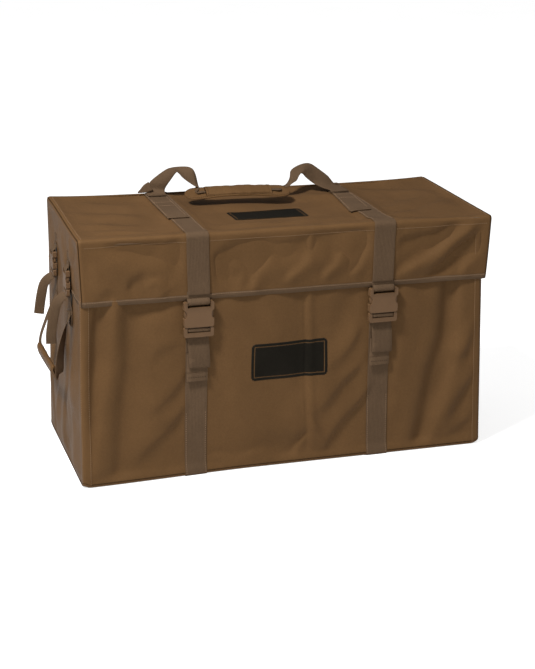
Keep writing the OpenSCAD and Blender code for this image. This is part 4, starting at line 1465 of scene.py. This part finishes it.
def make_anchors(side, body):
    """The patches that hold an end handle to the wall."""
    lines, half = [], END_WEB / 2 - 1 * MM
    for row, row_name in ROWS:
        s = end_s(side, row * END_STRAP_Y)
        lay_webbing(f"{body}_anchor_{row_name}", wall, (s - half, s + half),
                    (wall_v(338 * MM), wall_v(371 * MM)), 1.6 * MM, "bag", thickness=END_WEB_T, step=3 * MM)
        lines += box_stitch(wall, (s - half + 2.5 * MM, s + half - 2.5 * MM),
                            (wall_v(341 * MM), wall_v(357 * MM)), 3.2 * MM)
    stitches(body + "_anchor_stitches", lines, dark_thread, "webbing", "bag", 2.4 * MM)


def make_tag():
    """The small blank tag caught in the left end flap's hem."""
    u = sorted((end_flap_u(LEFT, -58 * MM), end_flap_u(LEFT, -38 * MM)))
    tag = lay("blank_side_tag", end_flaps[LEFT], u, (-2 * MM, 34 * MM), 1.2 * MM, 0.6 * MM, 2.5 * MM)
    dress(tag, label, "tag_fabric", "lid", ["blank_tag"])


# ---- the two blank printed panels ----

def make_print(name, sheet, u_range, v_range, body):
    """A blank rounded panel in dark ink, with a thin line of bare cloth inside its edge."""
    step, radius = 2 * MM, 9 * MM
    n, m = (round((end - start) / step) for start, end in (u_range, v_range))
    u, v = grid(u_range, v_range, n + 1, m + 1)
    half_u, half_v = (u_range[1] - u_range[0]) / 2, (v_range[1] - v_range[0]) / 2
    du = np.abs((u[:-1, :-1] + u[1:, 1:]) / 2 - sum(u_range) / 2) - half_u
    dv = np.abs((v[:-1, :-1] + v[1:, 1:]) / 2 - sum(v_range) / 2) - half_v
    corner = np.hypot(np.maximum(du + radius, 0), np.maximum(dv + radius, 0)) - radius
    inside = np.where((du > -radius) & (dv > -radius), corner, np.maximum(du, dv))
    keep = (inside < -0.2 * MM) & ~((inside < -6 * MM) & (inside > -8.1 * MM))
    faces = [face for face, kept in zip(grid_faces(n + 1, m + 1), keep.ravel()) if kept]
    used = sorted({k for face in faces for k in face})
    index = {k: i for i, k in enumerate(used)}
    made = mesh_object(name, sheet.at(u, v, 0.35 * MM).reshape(-1, 3)[used],
                       [[index[k] for k in face] for face in faces], paired(u, v).reshape(-1, 2)[used])
    thicken(made, 0.12 * MM, 1)
    dress(made, print_ink, "coated_fabric", body)


# ---- buckles ----

def finish_buckles():
    """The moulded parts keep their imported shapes, with rounded edges and a plastic finish."""
    for name, obj in frame["nodes"].items():
        if not obj.hide_render:
            obj.data.materials.clear()
            obj.data.materials.append(plastic)
            soften(obj, (0.5 if "end" in name else 0.9) * MM, 3, 30)
            obj.data.shade_smooth()


# ---- floor, light and camera ----

def floor_finish():
    """A pale matt floor that glows a little to the camera alone, so that it reads as white."""
    made, tree, shader, world = material("pale_floor")
    seen = add(tree, "LightPath", "Is Camera Ray", {})
    feed(tree, shader, {"Base Color": ramp(tree, noise(tree, world, 3.0), (grey(0.80), grey(0.84))),
                        "Roughness": 0.7, "Emission Color": (1, 1, 1, 1),
                        "Emission Strength": span(tree, seen, 0.0, 0.7)})
    return made


def area_light(name, place, aim, size, power):
    data = bpy.data.lights.new(name, "AREA")
    data.shape, data.size, data.energy = "DISK", size, power
    light = bpy.data.objects.new(name, data)
    light.location = place
    light.rotation_euler = (Vector(aim) - Vector(place)).to_track_quat("-Z", "Y").to_euler()
    bpy.context.collection.objects.link(light)


def make_world():
    """White to the camera, softer as light, and dim in reflections, which keeps the cloth matt."""
    world = bpy.context.scene.world or bpy.data.worlds.new("world")
    bpy.context.scene.world = world
    world.use_nodes = True
    tree = world.node_tree
    light = span(tree, add(tree, "LightPath", "Is Camera Ray", {}), 0.38, 1.0)
    dimmed = span(tree, add(tree, "LightPath", "Is Glossy Ray", {}), 1.0, 0.2)
    strength = add(tree, "Math", 0, {0: light, 1: dimmed}, operation="MULTIPLY")
    feed(tree, tree.nodes["Background"], {"Color": (1, 1, 1, 1), "Strength": strength})


def make_stage():
    reach = 40.0
    u, v = grid((-reach, reach), (-reach, reach), 2, 2)
    floor = grid_object("floor", np.stack([u, v, 0 * u], -1), paired(u, v))
    floor.location.z = -0.4 * MM
    floor.data.materials.append(floor_finish())
    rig.stage(floor)
    make_world()
    area_light("key", (-1.6, -1.15, 3.0), (0, 0, 0.3), 0.5, 125)
    area_light("fill", (-0.4, -3.6, 1.3), (0, 0, 0.25), 1.6, 9)
    bpy.context.scene.view_settings.view_transform = "Standard"


def make_camera():
    """The photo's view: a long lens from the front left, a little above the bag."""
    azimuth, elevation, roll = radians(-17.93), radians(18.456), radians(1.10)
    distance, shift_right, shift_up = 3.729, 0.0078, 0.2384
    back = Vector((sin(azimuth) * cos(elevation), -cos(azimuth) * cos(elevation), sin(elevation)))
    right = Vector((cos(azimuth), sin(azimuth), 0))
    up = back.cross(right)
    turned_right = right * cos(roll) + up * sin(roll)
    turned_up = up * cos(roll) - right * sin(roll)
    data = bpy.data.cameras.new("camera")
    data.lens, data.sensor_fit, data.sensor_height = 83.38, "VERTICAL", 36
    camera = bpy.data.objects.new("camera", data)
    place = back * distance + right * shift_right + up * shift_up
    turn = Matrix((turned_right, turned_up, back)).transposed().to_4x4()
    camera.matrix_world = Matrix.Translation(place) @ turn
    bpy.context.collection.objects.link(camera)
    bpy.context.scene.camera = camera


settle_all()
make_body()
make_board()
make_dividers()
make_lid()
make_hinge()
for side, name in SIDES:
    make_load_strap(side, name)
    make_front_tail(side, name)
    make_lid_strap(side, name)
    make_handle_base(side, name)
    for row, row_name in ROWS:
        make_end_strap(side, f"{name}_end", row, row_name)
    make_end_sleeve(side, f"{name}_end_handle", make_end_handle(side, f"{name}_end_handle"))
    make_anchors(side, f"{name}_end_handle")
make_handle_loops()
make_grip()
make_tag()
make_print("front_print", wall, (front_s(-89 * MM), front_s(90 * MM)),
           (wall_v(212 * MM), wall_v(298 * MM)), "bag")
make_print("lid_print", cover, (-95 * MM, 78 * MM), (top_v(-75 * MM), top_v(5 * MM)), "lid")
finish_buckles()
make_stage()
make_camera()
with open("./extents.json", "w") as out:
    json.dump({"cad": [list(map(float, corner)) for corner in cad_bounds],
               "visual": [list(map(float, corner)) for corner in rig.bounds()]}, out)
